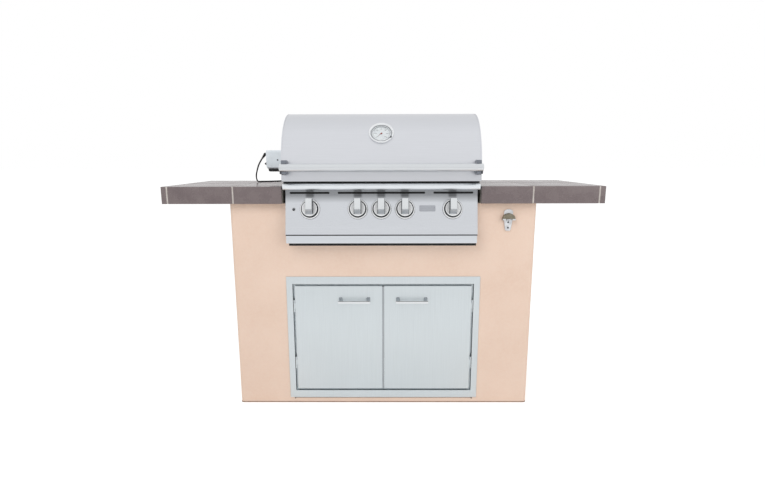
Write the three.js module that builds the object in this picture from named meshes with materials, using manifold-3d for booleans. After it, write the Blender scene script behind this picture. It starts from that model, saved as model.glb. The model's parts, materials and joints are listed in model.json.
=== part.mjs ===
// Outdoor kitchen island: a stuccoed cabinet on a steel frame, a tiled counter that overhangs
// both sides, a built-in gas grill with a roll-top hood, a double-door access unit, a wall bottle
// opener and a rotisserie motor with its cord. Millimetres, +Z up, the front faces -Y.
// Pieces are placed with X from the cabinet's centre, Y from the cabinet's front face (towards
// the back) and Z from the ground, but the grill's and the motor's heights are from the counter's
// top, where they stand in a group of their own. The whole then moves so that its base is centred.
import * as THREE from "three";
import { mergeVertices } from "three/addons/utils/BufferGeometryUtils.js";
import Module from "manifold-3d";

const wasm = await Module();
wasm.setup();

// Clearances shared by all pieces
const seat = 0.3;
const runningGap = 0.3;
const overrun = 40;
const weldTolerance = 0.0001;

// Facets of round pieces
const barSides = 14;
const pinSides = 10;
const dialSides = 24;
const cordSides = 8;
const coilSides = 6;
const arcSteps = 14;
const cornerSteps = 4;

// Stucco cabinet
const bodyWidth = 1290;
const bodyDepth = 600;
const bodyHeight = 898;
const wallThickness = 16;
const wallCornerRadius = 13;
const halfBody = bodyWidth / 2;

// Steel stud frame inside the cabinet
const studSize = 25;
const grillRailDrop = 30;

// Counter
const counterSideReach = 271;
const counterOverhang = 32;
const counterThickness = 71;
const tileThickness = 10;
const tilePitch = 310;
const cornerTileLength = 24;
const groutWidth = 4;
const groutDepth = 1.5;
const halfCounter = halfBody + counterSideReach;
const counterTop = bodyHeight + counterThickness;
const counterFront = -counterOverhang;
const counterBack = bodyDepth + counterOverhang;

// Access doors: a flanged surround with two trays hung on knuckles in the reveal
const doors = {
  frameWidth: 838,
  frameTopDrop: 143,
  frameBottom: 26,
  flangeReach: 3,
  rimSide: 27.5,
  rimEnd: 34,
  sleeveWall: 5.5,
  sleeveDepth: 46,
  stopWidth: 12,
  stopThickness: 2.5,
  reveal: 7.5,
  middleGap: 7.4,
  thickness: 20,
  sheet: 1.5,
  barrelDiameter: 6.6,
  barrelProud: 1.2,
  pinDiameter: 3,
  knuckleLength: 54,
  upperKnuckleDrop: 97,
  lowerKnuckleLift: 132,
  lugDepth: 3,
  wallClearance: 2,
};
const doorHandle = {
  diameter: 12,
  postDiameter: 11,
  standOff: 36,
  innerEnd: 55,
  outerEnd: 193.5,
  postInset: 9,
  drop: 64.5,
};

// Grill: heights are from the counter's top, half widths from the grill's own middle
const grillX = -6;
const grillCutMargin = 3;
const notchInset = 10;
const notchClearance = 10;
const firebox = {
  halfWidth: 395,
  front: 20,
  back: 430,
  depthBelow: 193,
  rim: 11,
  sheet: 2.5,
  floorRim: 70,
  flangeThickness: 2,
  flangeReach: 29,
  flangeFront: 60,
  flangeTail: 10,
  ledgeDepth: 12,
  ledgeThickness: 3,
  grateDrop: 52,
  plateDrop: 94,
  backRise: 78,
  backRiseInset: 95,
};
const fireboxBottom = -firebox.depthBelow;
const grateLedge = firebox.rim - firebox.grateDrop;
const plateLedge = firebox.rim - firebox.plateDrop;
const backRiseHalf = firebox.halfWidth - firebox.backRiseInset;
const backRiseTop = firebox.rim + firebox.backRise;
const cutoutClearance = 10;
const trayRail = { inset: 16, foot: 10, drop: 41, thickness: 2 };
const railBottom = fireboxBottom - trayRail.drop;

// Control panel: a vent strip over a face that leans out towards the bottom
const panel = {
  sideReach: 3,
  topReach: 20,
  foldReach: 57,
  topDrop: 12.3,
  stripHeight: 20.7,
  faceHeight: 163,
  sheet: 2.5,
  slotLift: 2.5,
  slotHeight: 8.5,
  middleSlotHalf: 181,
  sideSlotGap: 34,
  sideSlotInset: 18,
};
const panelHalf = firebox.halfWidth + panel.sideReach;
const panelTop = -panel.topDrop;
const panelBend = panelTop - panel.stripHeight;
const panelFold = panelBend - panel.faceHeight;
const knob = {
  rowDrop: 59.5,
  placeShares: [-0.744, -0.246, -0.0025, 0.244, 0.739],
  bezelDiameter: 80,
  bezelHeight: 8,
  bezelBore: 67,
  bezelFoot: 2,
  bezelLip: 3,
  discDiameter: 64,
  discHeight: 9,
  discLift: 2,
  chamfer: 2,
  gripWidth: 27,
  gripWaist: 22,
  gripLength: 72,
  gripHeight: 42,
  gripRound: 6,
  shaftDiameter: 8,
};
const knobRow = panelBend - knob.rowDrop;
const knobPlaces = knob.placeShares.map((share) => share * panelHalf);
const manifold = {
  pipeDiameter: 18,
  endInset: 55,
  valveDiameter: 22,
  valveSetBack: 5,
  shaftDepth: 9,
  inletDiameter: 26,
  inletLength: 22,
};
const lightButton = {
  edgeInset: 35,
  drop: 2.5,
  diameter: 11,
  reach: 4,
  travel: 2.5,
  stem: 12,
  stemDiameter: 6,
};
const bullnose = { sideReach: 4, overhang: 8, height: 24 };
const dripTray = {
  frontInset: 2,
  frontGap: 8,
  frontHeight: 28,
  frontStand: 0.5,
  frontThickness: 2.5,
  sideGap: 5,
  backGap: 30,
  depth: 23,
  sheet: 2,
};

// Cooking gear inside the firebox
const burner = {
  placeShares: [-0.7215, -0.2405, 0.2405, 0.7215],
  diameter: 36,
  drop: 36,
  frontGap: 24,
  backGap: 28,
  inletDiameter: 14,
  pegDiameter: 8,
  wall: 1.5,
};
const burnerPlaces = burner.placeShares.map((share) => share * firebox.halfWidth);
const burnerHeight = plateLedge - burner.drop;
const burnerFront = firebox.front + burner.frontGap;
const burnerBack = firebox.back - burner.backGap;
const heatPlate = { halfWidth: 62, rise: 34, thickness: 1.5 };
const grate = { gap: 3, bar: 9 };
const grateCount = 3;
const grateRodCount = 11;
const rearBurner = { inset: 30, depth: 30, lift: 8, topDrop: 10, screenDepth: 8, border: 9 };
const rack = { rod: 6, backGap: 38, depth: 122, lift: 116 };
const rackWindowCount = 16;
const rackHeight = firebox.rim + rack.lift;
const rackBack = firebox.back - rack.backGap;
const rackFront = rackBack - rack.depth;

// Roll-top hood
const hood = {
  sideReach: 14,
  frontReach: 40,
  lipGap: 10,
  height: 282,
  frontRadius: 242,
  rearRadius: 118,
  backReach: 35,
  sheet: 2,
  hingeInset: 20,
  hingeLift: 10,
  earRadius: 13,
  earThickness: 3,
  pinDiameter: 8,
  headDiameter: 17,
  headThickness: 3,
  rearGap: 20,
  spitSlotMargin: 8.6,
};
const hoodHalf = firebox.halfWidth + hood.sideReach;
const hoodLip = firebox.rim + hood.lipGap;
const hoodTop = hoodLip + hood.height;
const hoodBack = firebox.back + hood.backReach;
const hingeBack = hoodBack - hood.hingeInset;
const hingeHeight = hoodLip + hood.hingeLift;
const hoodHandle = { diameter: 30, standOff: 50, lift: 56, endInset: 3 };
const handleBarY = -hood.frontReach - hoodHandle.standOff;
const handleBarZ = hoodLip + hoodHandle.lift;
const handleBracket = { endInset: 10, width: 25, height: 60, round: 9 };
const thermometer = {
  lift: 194,
  flangeDiameter: 104,
  depth: 9,
  flangeLift: 3,
  bezelDiameter: 74,
  bezelLift: 13,
  dialDiameter: 62,
  dialDepth: 5,
  needleLength: 24,
  needleWidth: 3,
  needleThickness: 1.2,
  hubDiameter: 8,
  stemDiameter: 4,
  stemDepth: 5,
  coldAngle: Math.PI * 0.75,
};

// Rotisserie: rod through the grill, motor on a bracket outside the hood
const spit = { setBack: 173, lift: 82, size: 9, earHalf: 26, earRise: 17, notchClearance: 1, endReach: 1 };
const spitY = firebox.front + spit.setBack;
const spitZ = firebox.rim + spit.lift;
const spitAcross = spit.size * Math.SQRT2;
const motor = {
  sideGap: 6,
  length: 96.7,
  bracketThickness: 3,
  halfDepth: 43,
  drop: 24,
  height: 80,
  baseHeight: 12,
  baseInset: 3,
  round: 6,
  socketDepth: 14,
  switchForward: 21,
  switchLift: 22,
  switchDiameter: 8,
  switchReach: 9,
  switchSeatDepth: 5,
  switchTravel: 3,
};
const motorBracketX = grillX - hoodHalf - motor.sideGap - motor.bracketThickness / 2;
const motorRight = motorBracketX - motor.bracketThickness / 2 - seat;
const motorLeft = motorRight - motor.length;
const motorBottom = spitZ - motor.drop;
const motorTop = motorBottom + motor.height;

// Cord of the motor
const cord = {
  diameter: 6.5,
  exitLift: 63.3,
  glandDiameter: 13,
  glandSeatLength: 5,
  coilX: 49,
  coilY: 566,
  meanRadius: 38.3,
  layerTurns: 2.5,
  climbTurns: 0.5,
  pitch: 7.15,
  stepsPerTurn: 24,
  leastGap: 0.4,
};
const plug = {
  bodyLength: 34,
  bodyWidth: 25,
  bodyHeight: 19,
  reliefLength: 22,
  reliefDiameter: 10,
  bladeLength: 17,
  bladeWidth: 6.4,
  bladeThickness: 1.6,
  bladeSpacing: 12.7,
  groundDiameter: 4.8,
  groundDrop: 5.4,
  round: 4,
};

// Bottle opener on the front wall, hung below the counter
const opener = {
  placeShare: 0.5336,
  drop: 38,
  plateWidth: 38,
  plateHeight: 78,
  plateThickness: 3,
  plateRound: 12,
  hoodWidth: 56,
  hoodHeight: 26,
  hoodReach: 22,
  wall: 4,
  toothWidth: 16,
  toothHeight: 7,
};

// Colours and finishes of the pieces
function finish(color, roughness, metalness) {
  return new THREE.MeshStandardMaterial({ color, roughness, metalness });
}
const stucco = finish(0xe7cdba, 0.95, 0);
const studSteel = finish(0x9fa3a6, 0.5, 0.9);
const backer = finish(0xb6b1a8, 0.95, 0);
const tile = finish(0x857b7a, 0.6, 0);
const stainless = finish(0xcfd2d4, 0.32, 1);
const darkSteel = finish(0x6d6f71, 0.5, 1);
const castSteel = finish(0x8d8f90, 0.45, 1);
const blackPlastic = finish(0x1b1b1d, 0.5, 0);
const chromed = finish(0xe3e5e7, 0.12, 1);
const needleRed = finish(0xb3261d, 0.5, 0);

const island = new THREE.Group();
const grill = new THREE.Group();
grill.position.z = counterTop;
island.add(grill);

function piece(name, geometry, material, parent = island) {
  const mesh = new THREE.Mesh(geometry, material);
  mesh.name = name;
  parent.add(mesh);
  return mesh;
}

function grillPiece(name, geometry, material) {
  return piece(name, geometry, material, grill);
}

// Closed solids, joins and cuts
function asSolid(geometry) {
  const bare = geometry.clone();
  bare.deleteAttribute("normal");
  bare.deleteAttribute("uv");
  const merged = mergeVertices(bare, weldTolerance);
  const corners = merged.index.array;
  const kept = [];
  for (let i = 0; i < corners.length; i += 3) {
    const [a, b, c] = [corners[i], corners[i + 1], corners[i + 2]];
    if (a !== b && b !== c && c !== a) {
      kept.push(a, b, c);
    }
  }
  const vertProperties = new Float32Array(merged.attributes.position.array);
  const triVerts = new Uint32Array(kept);
  return new wasm.Manifold(new wasm.Mesh({ numProp: 3, vertProperties, triVerts }));
}

function asGeometry(solid) {
  const mesh = solid.getMesh();
  const geometry = new THREE.BufferGeometry();
  geometry.setAttribute("position", new THREE.BufferAttribute(new Float32Array(mesh.vertProperties), 3));
  geometry.setIndex(new THREE.BufferAttribute(new Uint32Array(mesh.triVerts), 1));
  geometry.computeVertexNormals();
  return geometry;
}

function join(...geometries) {
  return asGeometry(geometries.map(asSolid).reduce((whole, part) => whole.add(part)));
}

function cut(geometry, ...cutters) {
  return asGeometry(cutters.map(asSolid).reduce((whole, part) => whole.subtract(part), asSolid(geometry)));
}

function common(geometry, other) {
  return asGeometry(asSolid(geometry).intersect(asSolid(other)));
}

// Basic forms, each given by its limits in the island's frame
function block(x0, x1, y0, y1, z0, z1) {
  const geometry = new THREE.BoxGeometry(x1 - x0, y1 - y0, z1 - z0);
  return geometry.translate((x0 + x1) / 2, (y0 + y1) / 2, (z0 + z1) / 2);
}

function rodX(diameter, x0, x1, y, z, sides = barSides) {
  const geometry = new THREE.CylinderGeometry(diameter / 2, diameter / 2, x1 - x0, sides);
  return geometry.rotateZ(-Math.PI / 2).translate((x0 + x1) / 2, y, z);
}

function rodY(diameter, x, y0, y1, z, sides = barSides) {
  const geometry = new THREE.CylinderGeometry(diameter / 2, diameter / 2, y1 - y0, sides);
  return geometry.translate(x, (y0 + y1) / 2, z);
}

function rodZ(diameter, x, y, z0, z1, sides = barSides) {
  const geometry = new THREE.CylinderGeometry(diameter / 2, diameter / 2, z1 - z0, sides);
  return geometry.rotateX(Math.PI / 2).translate(x, y, (z0 + z1) / 2);
}

// A cylinder along local z, for pieces that are built in a turned frame
function rodOut(diameter, z0, z1, sides = barSides, x = 0, y = 0) {
  return rodZ(diameter, x, y, z0, z1, sides);
}

function prism(shape, depth, curveSegments = cornerSteps) {
  return new THREE.ExtrudeGeometry(shape, { depth, bevelEnabled: false, curveSegments });
}

// A shape drawn in Y and Z, extruded along X from x0 to x1
function prismX(shape, x0, x1, curveSegments = cornerSteps) {
  const axes = new THREE.Matrix4().makeBasis(
    new THREE.Vector3(0, 1, 0),
    new THREE.Vector3(0, 0, 1),
    new THREE.Vector3(1, 0, 0),
  );
  return prism(shape, x1 - x0, curveSegments).applyMatrix4(axes).translate(x0, 0, 0);
}

// A shape drawn in X and Y, extruded along Z from z0 to z1
function prismZ(shape, z0, z1) {
  return prism(shape, z1 - z0).translate(0, 0, z0);
}

// A shape drawn in X and Z, extruded along Y from y0 to y1
function prismY(shape, y0, y1) {
  const axes = new THREE.Matrix4().makeBasis(
    new THREE.Vector3(1, 0, 0),
    new THREE.Vector3(0, 0, 1),
    new THREE.Vector3(0, -1, 0),
  );
  return prism(shape, y1 - y0).applyMatrix4(axes).translate(0, y1, 0);
}

function polygon(points) {
  return new THREE.Shape(points.map(([u, v]) => new THREE.Vector2(u, v)));
}

// A rectangle with its four corners rounded
function roundedRect(u0, u1, v0, v1, radius) {
  const shape = new THREE.Shape();
  shape.moveTo(u0 + radius, v0);
  shape.lineTo(u1 - radius, v0);
  shape.absarc(u1 - radius, v0 + radius, radius, -Math.PI / 2, 0);
  shape.lineTo(u1, v1 - radius);
  shape.absarc(u1 - radius, v1 - radius, radius, 0, Math.PI / 2);
  shape.lineTo(u0 + radius, v1);
  shape.absarc(u0 + radius, v1 - radius, radius, Math.PI / 2, Math.PI);
  shape.lineTo(u0, v0 + radius);
  shape.absarc(u0 + radius, v0 + radius, radius, Math.PI, Math.PI * 1.5);
  return shape;
}

// A turned solid about local z, from pairs of radius and height that start and end on the axis
function turned(profile, sides = dialSides) {
  const points = profile.map(([radius, height]) => new THREE.Vector2(radius, height));
  return new THREE.LatheGeometry(points, sides).rotateX(Math.PI / 2);
}

// A frame on a face that leans back: local z leaves the face, local x is X, local y runs up it
function leaningFrame(x, y, z, lean) {
  return new THREE.Matrix4().makeTranslation(x, y, z).multiply(
    new THREE.Matrix4().makeRotationX(Math.PI / 2 - lean),
  );
}

function leaningGroup(matrix) {
  const group = new THREE.Group();
  matrix.decompose(group.position, group.quaternion, group.scale);
  grill.add(group);
  return group;
}

// Both sides of the centre line
const sides = [
  { name: "left", sign: -1 },
  { name: "right", sign: 1 },
];

function span(a, b) {
  return [Math.min(a, b), Math.max(a, b)];
}

// Cabinet walls, with the notch for the grill and the hole for the doors below it
const trayFrontTop = panelFold - dripTray.frontGap;
const trayFrontBottom = trayFrontTop - dripTray.frontHeight;
const notchHalf = firebox.halfWidth - notchInset;
const notchBottom = counterTop + trayFrontBottom - notchClearance;
const grillCutHalf = hoodHalf + grillCutMargin;
const frameSide = doors.frameWidth / 2;
const frameTop = notchBottom - doors.frameTopDrop;
const openingSide = frameSide - doors.rimSide;
const openingBottom = doors.frameBottom + doors.rimEnd;
const openingTop = frameTop - doors.rimEnd;
const sleeveSide = openingSide + doors.sleeveWall;
const wallHole = block(
  -sleeveSide - doors.wallClearance,
  sleeveSide + doors.wallClearance,
  -overrun,
  wallThickness + overrun,
  openingBottom - doors.sleeveWall - doors.wallClearance,
  openingTop + doors.sleeveWall + doors.wallClearance,
);
const grillNotch = block(
  grillX - notchHalf,
  grillX + notchHalf,
  -overrun,
  wallThickness + overrun,
  notchBottom,
  bodyHeight + overrun,
);

function cornerWall(y0, y1, roundFront) {
  const face = roundFront ? y0 : y1;
  const inner = roundFront ? y1 : y0;
  const step = Math.sign(inner - face) * wallCornerRadius;
  const shape = new THREE.Shape();
  shape.moveTo(-halfBody, inner);
  shape.lineTo(-halfBody, face + step);
  shape.quadraticCurveTo(-halfBody, face, -halfBody + wallCornerRadius, face);
  shape.lineTo(halfBody - wallCornerRadius, face);
  shape.quadraticCurveTo(halfBody, face, halfBody, face + step);
  shape.lineTo(halfBody, inner);
  return prism(shape, bodyHeight);
}

function buildWalls() {
  piece("front_wall", cut(cornerWall(0, wallThickness, true), wallHole, grillNotch), stucco);
  piece("back_wall", asGeometry(asSolid(cornerWall(bodyDepth - wallThickness, bodyDepth, false))), stucco);
  for (const { name, sign } of sides) {
    const [x0, x1] = span(sign * halfBody, sign * (halfBody - wallThickness));
    const wall = block(x0, x1, wallThickness + seat, bodyDepth - wallThickness - seat, 0, bodyHeight);
    piece(`${name}_wall`, wall, stucco);
  }
}

// Steel frame: posts at the corners and beside the doors, rails round the top and bottom
function buildStudFrame() {
  const x = halfBody - wallThickness - seat;
  const front = wallThickness + seat;
  const back = bodyDepth - wallThickness - seat;
  const doorPost = sleeveSide + doors.wallClearance + doors.sleeveWall;
  const bars = [];
  for (const { sign } of sides) {
    const [x0, x1] = span(sign * x, sign * (x - studSize));
    const [p0, p1] = span(sign * doorPost, sign * (doorPost + studSize));
    bars.push(block(x0, x1, front, front + studSize, 0, bodyHeight));
    bars.push(block(x0, x1, back - studSize, back, 0, bodyHeight));
    bars.push(block(p0, p1, front, front + studSize, 0, bodyHeight));
    bars.push(block(p0, p1, back - studSize, back, 0, bodyHeight));
    const [r0, r1] = span(sign * x, sign * doorPost);
    for (const z of [0, bodyHeight - studSize]) {
      bars.push(block(x0, x1, front, back, z, z + studSize));
      bars.push(block(r0, r1, front, front + studSize, z, z + studSize));
    }
  }
  bars.push(block(-x, x, back - studSize, back, 0, studSize));
  bars.push(block(-x, x, back - studSize, back, bodyHeight - studSize, bodyHeight));
  bars.push(block(-doorPost, doorPost, front, front + studSize, 0, studSize));
  const rail = notchBottom - grillRailDrop - studSize;
  bars.push(block(-doorPost, doorPost, front, front + studSize, rail, rail + studSize));
  piece("stud_frame", join(...bars), studSteel);
}

// Counter with a notch for the grill, open to the front
function notchedSlab(halfX, front, back, z0, z1) {
  const outline = polygon([
    [-halfX, front],
    [grillX - grillCutHalf, front],
    [grillX - grillCutHalf, firebox.back + cutoutClearance],
    [grillX + grillCutHalf, firebox.back + cutoutClearance],
    [grillX + grillCutHalf, front],
    [halfX, front],
    [halfX, back],
    [-halfX, back],
  ]);
  return prismZ(outline, z0, z1);
}

function jointPlaces(limit) {
  const places = [0];
  for (let x = tilePitch; x < limit; x += tilePitch) {
    places.push(-x, x);
  }
  return places;
}

function groutAcross(x, y0, y1, z0, z1) {
  return block(x - groutWidth / 2, x + groutWidth / 2, y0, y1, z0, z1);
}

function groutAlong(y, x0, x1, z0, z1) {
  return block(x0, x1, y - groutWidth / 2, y + groutWidth / 2, z0, z1);
}

function buildCounter() {
  const bottom = bodyHeight + seat;
  const edge = tileThickness + seat;
  const deckTop = counterTop - edge;
  const innerX = halfCounter - edge;
  const innerFront = counterFront + edge;
  const innerBack = counterBack - edge;
  piece(
    "counter_deck",
    asGeometry(asSolid(notchedSlab(innerX, innerFront, innerBack, bottom, deckTop))),
    backer,
  );

  const rows = [counterFront + tilePitch, counterFront + tilePitch * 2];
  const above = counterTop + overrun;
  const topJoints = jointPlaces(innerX).map((x) =>
    groutAcross(x, counterFront - overrun, counterBack + overrun, counterTop - groutDepth, above),
  );
  for (const y of rows) {
    topJoints.push(groutAlong(y, -halfCounter, halfCounter, counterTop - groutDepth, above));
  }
  const top = notchedSlab(innerX, innerFront, innerBack, deckTop + seat, counterTop);
  piece("counter_tiles", cut(top, ...topJoints), tile);

  const below = bodyHeight - overrun;
  const corner = halfCounter - cornerTileLength;
  const frontJoints = [-corner, corner, ...jointPlaces(innerX)].map((x) =>
    groutAcross(x, counterFront - overrun, counterFront + groutDepth, below, above),
  );
  const backJoints = [-corner, corner, ...jointPlaces(innerX)].map((x) =>
    groutAcross(x, counterBack - groutDepth, counterBack + overrun, below, above),
  );
  const frontRow = (x0, x1) => block(x0, x1, counterFront, counterFront + tileThickness, bottom, counterTop);
  piece("edge_tiles_front_left", cut(frontRow(-halfCounter, grillX - grillCutHalf), ...frontJoints), tile);
  piece("edge_tiles_front_right", cut(frontRow(grillX + grillCutHalf, halfCounter), ...frontJoints), tile);
  const rearRow = cut(
    block(-halfCounter, halfCounter, innerFront, counterBack, bottom, counterTop),
    block(
      tileThickness - halfCounter,
      halfCounter - tileThickness,
      innerFront - overrun,
      counterBack - tileThickness,
      below,
      above,
    ),
  );
  const sideJoints = sides.flatMap(({ sign }) => {
    const [g0, g1] = span(sign * (halfCounter - groutDepth), sign * (halfCounter + overrun));
    return rows.map((y) => groutAlong(y, g0, g1, below, above));
  });
  piece("edge_tiles_rear", cut(rearRow, ...backJoints, ...sideJoints), tile);
}

// Access doors
const doorFace = -doors.flangeReach;
const doorBack = doorFace + doors.thickness;
const doorEdge = openingSide - doors.reveal;
const hingeX = openingSide - doors.reveal / 2;
const hingeY = doorFace - doors.barrelProud + doors.barrelDiameter / 2;
const knucklePart = doors.knuckleLength / 4;
const knuckleHeights = [openingTop - doors.upperKnuckleDrop, openingBottom + doors.lowerKnuckleLift];

function barrel(sign, z0, z1, toX) {
  const [x0, x1] = span(sign * hingeX, sign * toX);
  const bar = rodZ(doors.barrelDiameter, sign * hingeX, hingeY, z0, z1, pinSides);
  return join(bar, block(x0, x1, hingeY - doors.lugDepth / 2, hingeY + doors.lugDepth / 2, z0, z1));
}

function buildDoorSurround() {
  const flange = block(-frameSide, frameSide, doorFace, -seat, doors.frameBottom, frameTop);
  const wall = doors.sleeveWall;
  const sleeve = block(
    -sleeveSide,
    sleeveSide,
    doorFace,
    doors.sleeveDepth,
    openingBottom - wall,
    openingTop + wall,
  );
  const stopFront = doorBack + seat;
  const mouth = block(-openingSide, openingSide, -overrun, stopFront, openingBottom, openingTop);
  const stop = doors.stopWidth;
  const hole = (inset, y0, y1) =>
    block(-openingSide + inset, openingSide - inset, y0, y1, openingBottom + inset, openingTop - inset);
  const knuckles = [];
  for (const { sign } of sides) {
    for (const z of knuckleHeights) {
      const half = doors.knuckleLength / 2;
      const outerX = openingSide + doors.sleeveWall / 2;
      knuckles.push(barrel(sign, z - half, z - knucklePart - runningGap, outerX));
      knuckles.push(barrel(sign, z + knucklePart + runningGap, z + half, outerX));
      knuckles.push(rodZ(doors.pinDiameter, sign * hingeX, hingeY, z - half, z + half, pinSides));
    }
  }
  const rear = hole(0, stopFront + doors.stopThickness, doors.sleeveDepth + overrun);
  const ring = cut(join(flange, sleeve), mouth, hole(stop, -overrun, doors.sleeveDepth), rear);
  piece("door_surround", join(ring, ...knuckles), stainless);
}

function buildDoors() {
  const bottom = openingBottom + doors.reveal;
  const top = openingTop - doors.reveal;
  for (const { name, sign } of sides) {
    const [x0, x1] = span((sign * doors.middleGap) / 2, sign * doorEdge);
    const sheet = doors.sheet;
    const skin = block(x0, x1, doorFace, doorBack, bottom, top);
    const inside = block(
      x0 + sheet,
      x1 - sheet,
      doorFace + sheet,
      doorBack + overrun,
      bottom + sheet,
      top - sheet,
    );
    const knuckles = knuckleHeights.map((z) =>
      barrel(sign, z - knucklePart, z + knucklePart, doorEdge - sheet / 2),
    );
    const bore = rodZ(doors.pinDiameter + runningGap * 2, sign * hingeX, hingeY, bottom, top, pinSides);
    piece(`door_${name}`, cut(join(cut(skin, inside), ...knuckles), bore), stainless);

    const [h0, h1] = span(sign * doorHandle.innerEnd, sign * doorHandle.outerEnd);
    const barY = doorFace - doorHandle.standOff;
    const barZ = top - doorHandle.drop;
    const posts = [h0 + doorHandle.postInset, h1 - doorHandle.postInset].map((x) =>
      rodY(doorHandle.postDiameter, x, barY, doorFace - seat, barZ, pinSides),
    );
    const bar = rodX(doorHandle.diameter, h0, h1, barY, barZ);
    piece(`door_handle_${name}`, join(bar, ...posts), stainless);
  }
}

// Frame of the leaning panel face: local z leaves it, local y runs up it, origin on the knob row
const panelSlope = (panel.foldReach - panel.topReach) / panel.faceHeight;
const panelLean = Math.atan(panelSlope);

function panelY(z) {
  return -panel.topReach - (panelBend - z) * panelSlope;
}

function panelFrame(x, z) {
  return leaningFrame(grillX + x, panelY(z), z, panelLean);
}

const shaftBore = knob.shaftDiameter + runningGap * 2;
const buttonPlace = [lightButton.edgeInset - panelHalf, knobRow - lightButton.drop];

// A press-formed ring round each knob
function bezel() {
  const outer = knob.bezelDiameter / 2;
  const ring = turned([
    [0, -panel.sheet / 2],
    [outer, -panel.sheet / 2],
    [outer, knob.bezelFoot],
    [knob.bezelBore / 2 + knob.bezelLip, knob.bezelHeight],
    [0, knob.bezelHeight],
  ]);
  return cut(ring, rodOut(knob.bezelBore, knob.bezelFoot, overrun, dialSides));
}

function buildControlPanel() {
  const sheet = panel.sheet;
  const back = -seat;
  const slotBottom = panelBend + panel.slotLift;
  const sideSlotStart = panel.middleSlotHalf + panel.sideSlotGap;
  const sideSlotEnd = panelHalf - panel.sideSlotInset;
  const face = [
    [-panel.topReach, panelTop],
    [-panel.topReach, panelBend],
    [-panel.foldReach, panelFold],
  ];
  const outer = prismX(
    polygon([[back, panelTop], ...face, [back, panelFold]]),
    grillX - panelHalf,
    grillX + panelHalf,
  );
  const inner = prismX(
    polygon([
      [overrun, panelTop - sheet],
      [sheet - panel.topReach, panelTop - sheet],
      [sheet - panel.topReach, panelBend],
      [sheet - panel.foldReach, panelFold + sheet],
      [overrun, panelFold + sheet],
    ]),
    grillX - panelHalf + sheet,
    grillX + panelHalf - sheet,
  );
  const slot = (x0, x1) =>
    block(
      grillX + x0,
      grillX + x1,
      -panel.topReach - overrun,
      -panel.topReach + sheet * 2,
      slotBottom,
      slotBottom + panel.slotHeight,
    );
  const slots = [
    slot(-sideSlotEnd, -sideSlotStart),
    slot(-panel.middleSlotHalf, panel.middleSlotHalf),
    slot(sideSlotStart, sideSlotEnd),
  ];
  const bezels = knobPlaces.map((x) => bezel().applyMatrix4(panelFrame(x, knobRow)));
  const shaftHoles = knobPlaces.map((x) =>
    rodOut(shaftBore, -overrun / 2, overrun / 2, pinSides).applyMatrix4(panelFrame(x, knobRow)),
  );
  const buttonHole = rodOut(lightButton.stemDiameter + runningGap * 2, -overrun / 2, overrun / 2, pinSides);
  buttonHole.applyMatrix4(panelFrame(...buttonPlace));
  const shell = join(cut(outer, inner, ...slots), ...bezels);
  grillPiece("control_panel", cut(shell, ...shaftHoles, buttonHole), stainless);
}

function buildKnobs() {
  const base = knob.bezelFoot + knob.discLift;
  const discTop = base + knob.discHeight;
  const radius = knob.discDiameter / 2;
  const disc = turned([
    [0, base],
    [radius, base],
    [radius, discTop - knob.chamfer],
    [radius - knob.chamfer, discTop],
    [0, discTop],
  ]);
  const half = knob.gripLength / 2;
  const top = knob.gripWaist / 2;
  const foot = knob.gripWidth / 2;
  const gripTop = base + knob.gripHeight;
  const section = polygon([
    [-foot, discTop - knob.chamfer],
    [foot, discTop - knob.chamfer],
    [top, gripTop - knob.gripRound],
    [top - knob.gripRound, gripTop],
    [knob.gripRound - top, gripTop],
    [-top, gripTop - knob.gripRound],
  ]);
  const grip = prismY(section, -half, half);
  const shaftEnd = -panel.sheet - manifold.valveSetBack - manifold.shaftDepth + seat;
  const shaft = rodOut(knob.shaftDiameter, shaftEnd, base + knob.discHeight / 2, pinSides);
  const whole = join(disc, grip, shaft);
  knobPlaces.forEach((x, index) => {
    piece(`knob_${index + 1}`, whole, stainless, leaningGroup(panelFrame(x, knobRow)));
  });
}

function buildLightButton() {
  const cap = rodOut(
    lightButton.diameter,
    seat + lightButton.travel,
    lightButton.reach + lightButton.travel,
    pinSides,
  );
  const stem = rodOut(lightButton.stemDiameter, -lightButton.stem, lightButton.reach, pinSides);
  const spot = leaningGroup(panelFrame(...buttonPlace));
  piece("light_button", join(cap, stem), chromed, spot);
}

// Gas manifold: a pipe along the firebox with a valve behind each knob
function buildManifold() {
  const radius = manifold.pipeDiameter / 2;
  const halfLength = firebox.halfWidth - manifold.endInset;
  const pipeY = firebox.front - seat - radius;
  const alongNormal = (pipeY - panelY(knobRow)) / Math.cos(panelLean);
  const pipeZ = knobRow - alongNormal * Math.sin(panelLean);
  const pipe = rodX(
    manifold.pipeDiameter,
    grillX - halfLength,
    grillX + halfLength,
    pipeY,
    pipeZ,
  );
  const face = -panel.sheet - manifold.valveSetBack;
  const valves = knobPlaces.map((x) =>
    rodOut(manifold.valveDiameter, -alongNormal, face, pinSides).applyMatrix4(panelFrame(x, knobRow)),
  );
  const end = grillX + halfLength;
  const inlet = rodX(manifold.inletDiameter, end - manifold.inletLength, end, pipeY, pipeZ, pinSides);
  const inFront = block(-halfBody, halfBody, -bodyDepth, firebox.front - seat, -bodyHeight, 0);
  const trimmed = common(inlet, inFront);
  const bores = knobPlaces.map((x) =>
    rodOut(shaftBore, face - manifold.shaftDepth, overrun, pinSides).applyMatrix4(panelFrame(x, knobRow)),
  );
  grillPiece("gas_manifold", cut(join(pipe, trimmed, ...valves), ...bores), castSteel);
}

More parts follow.
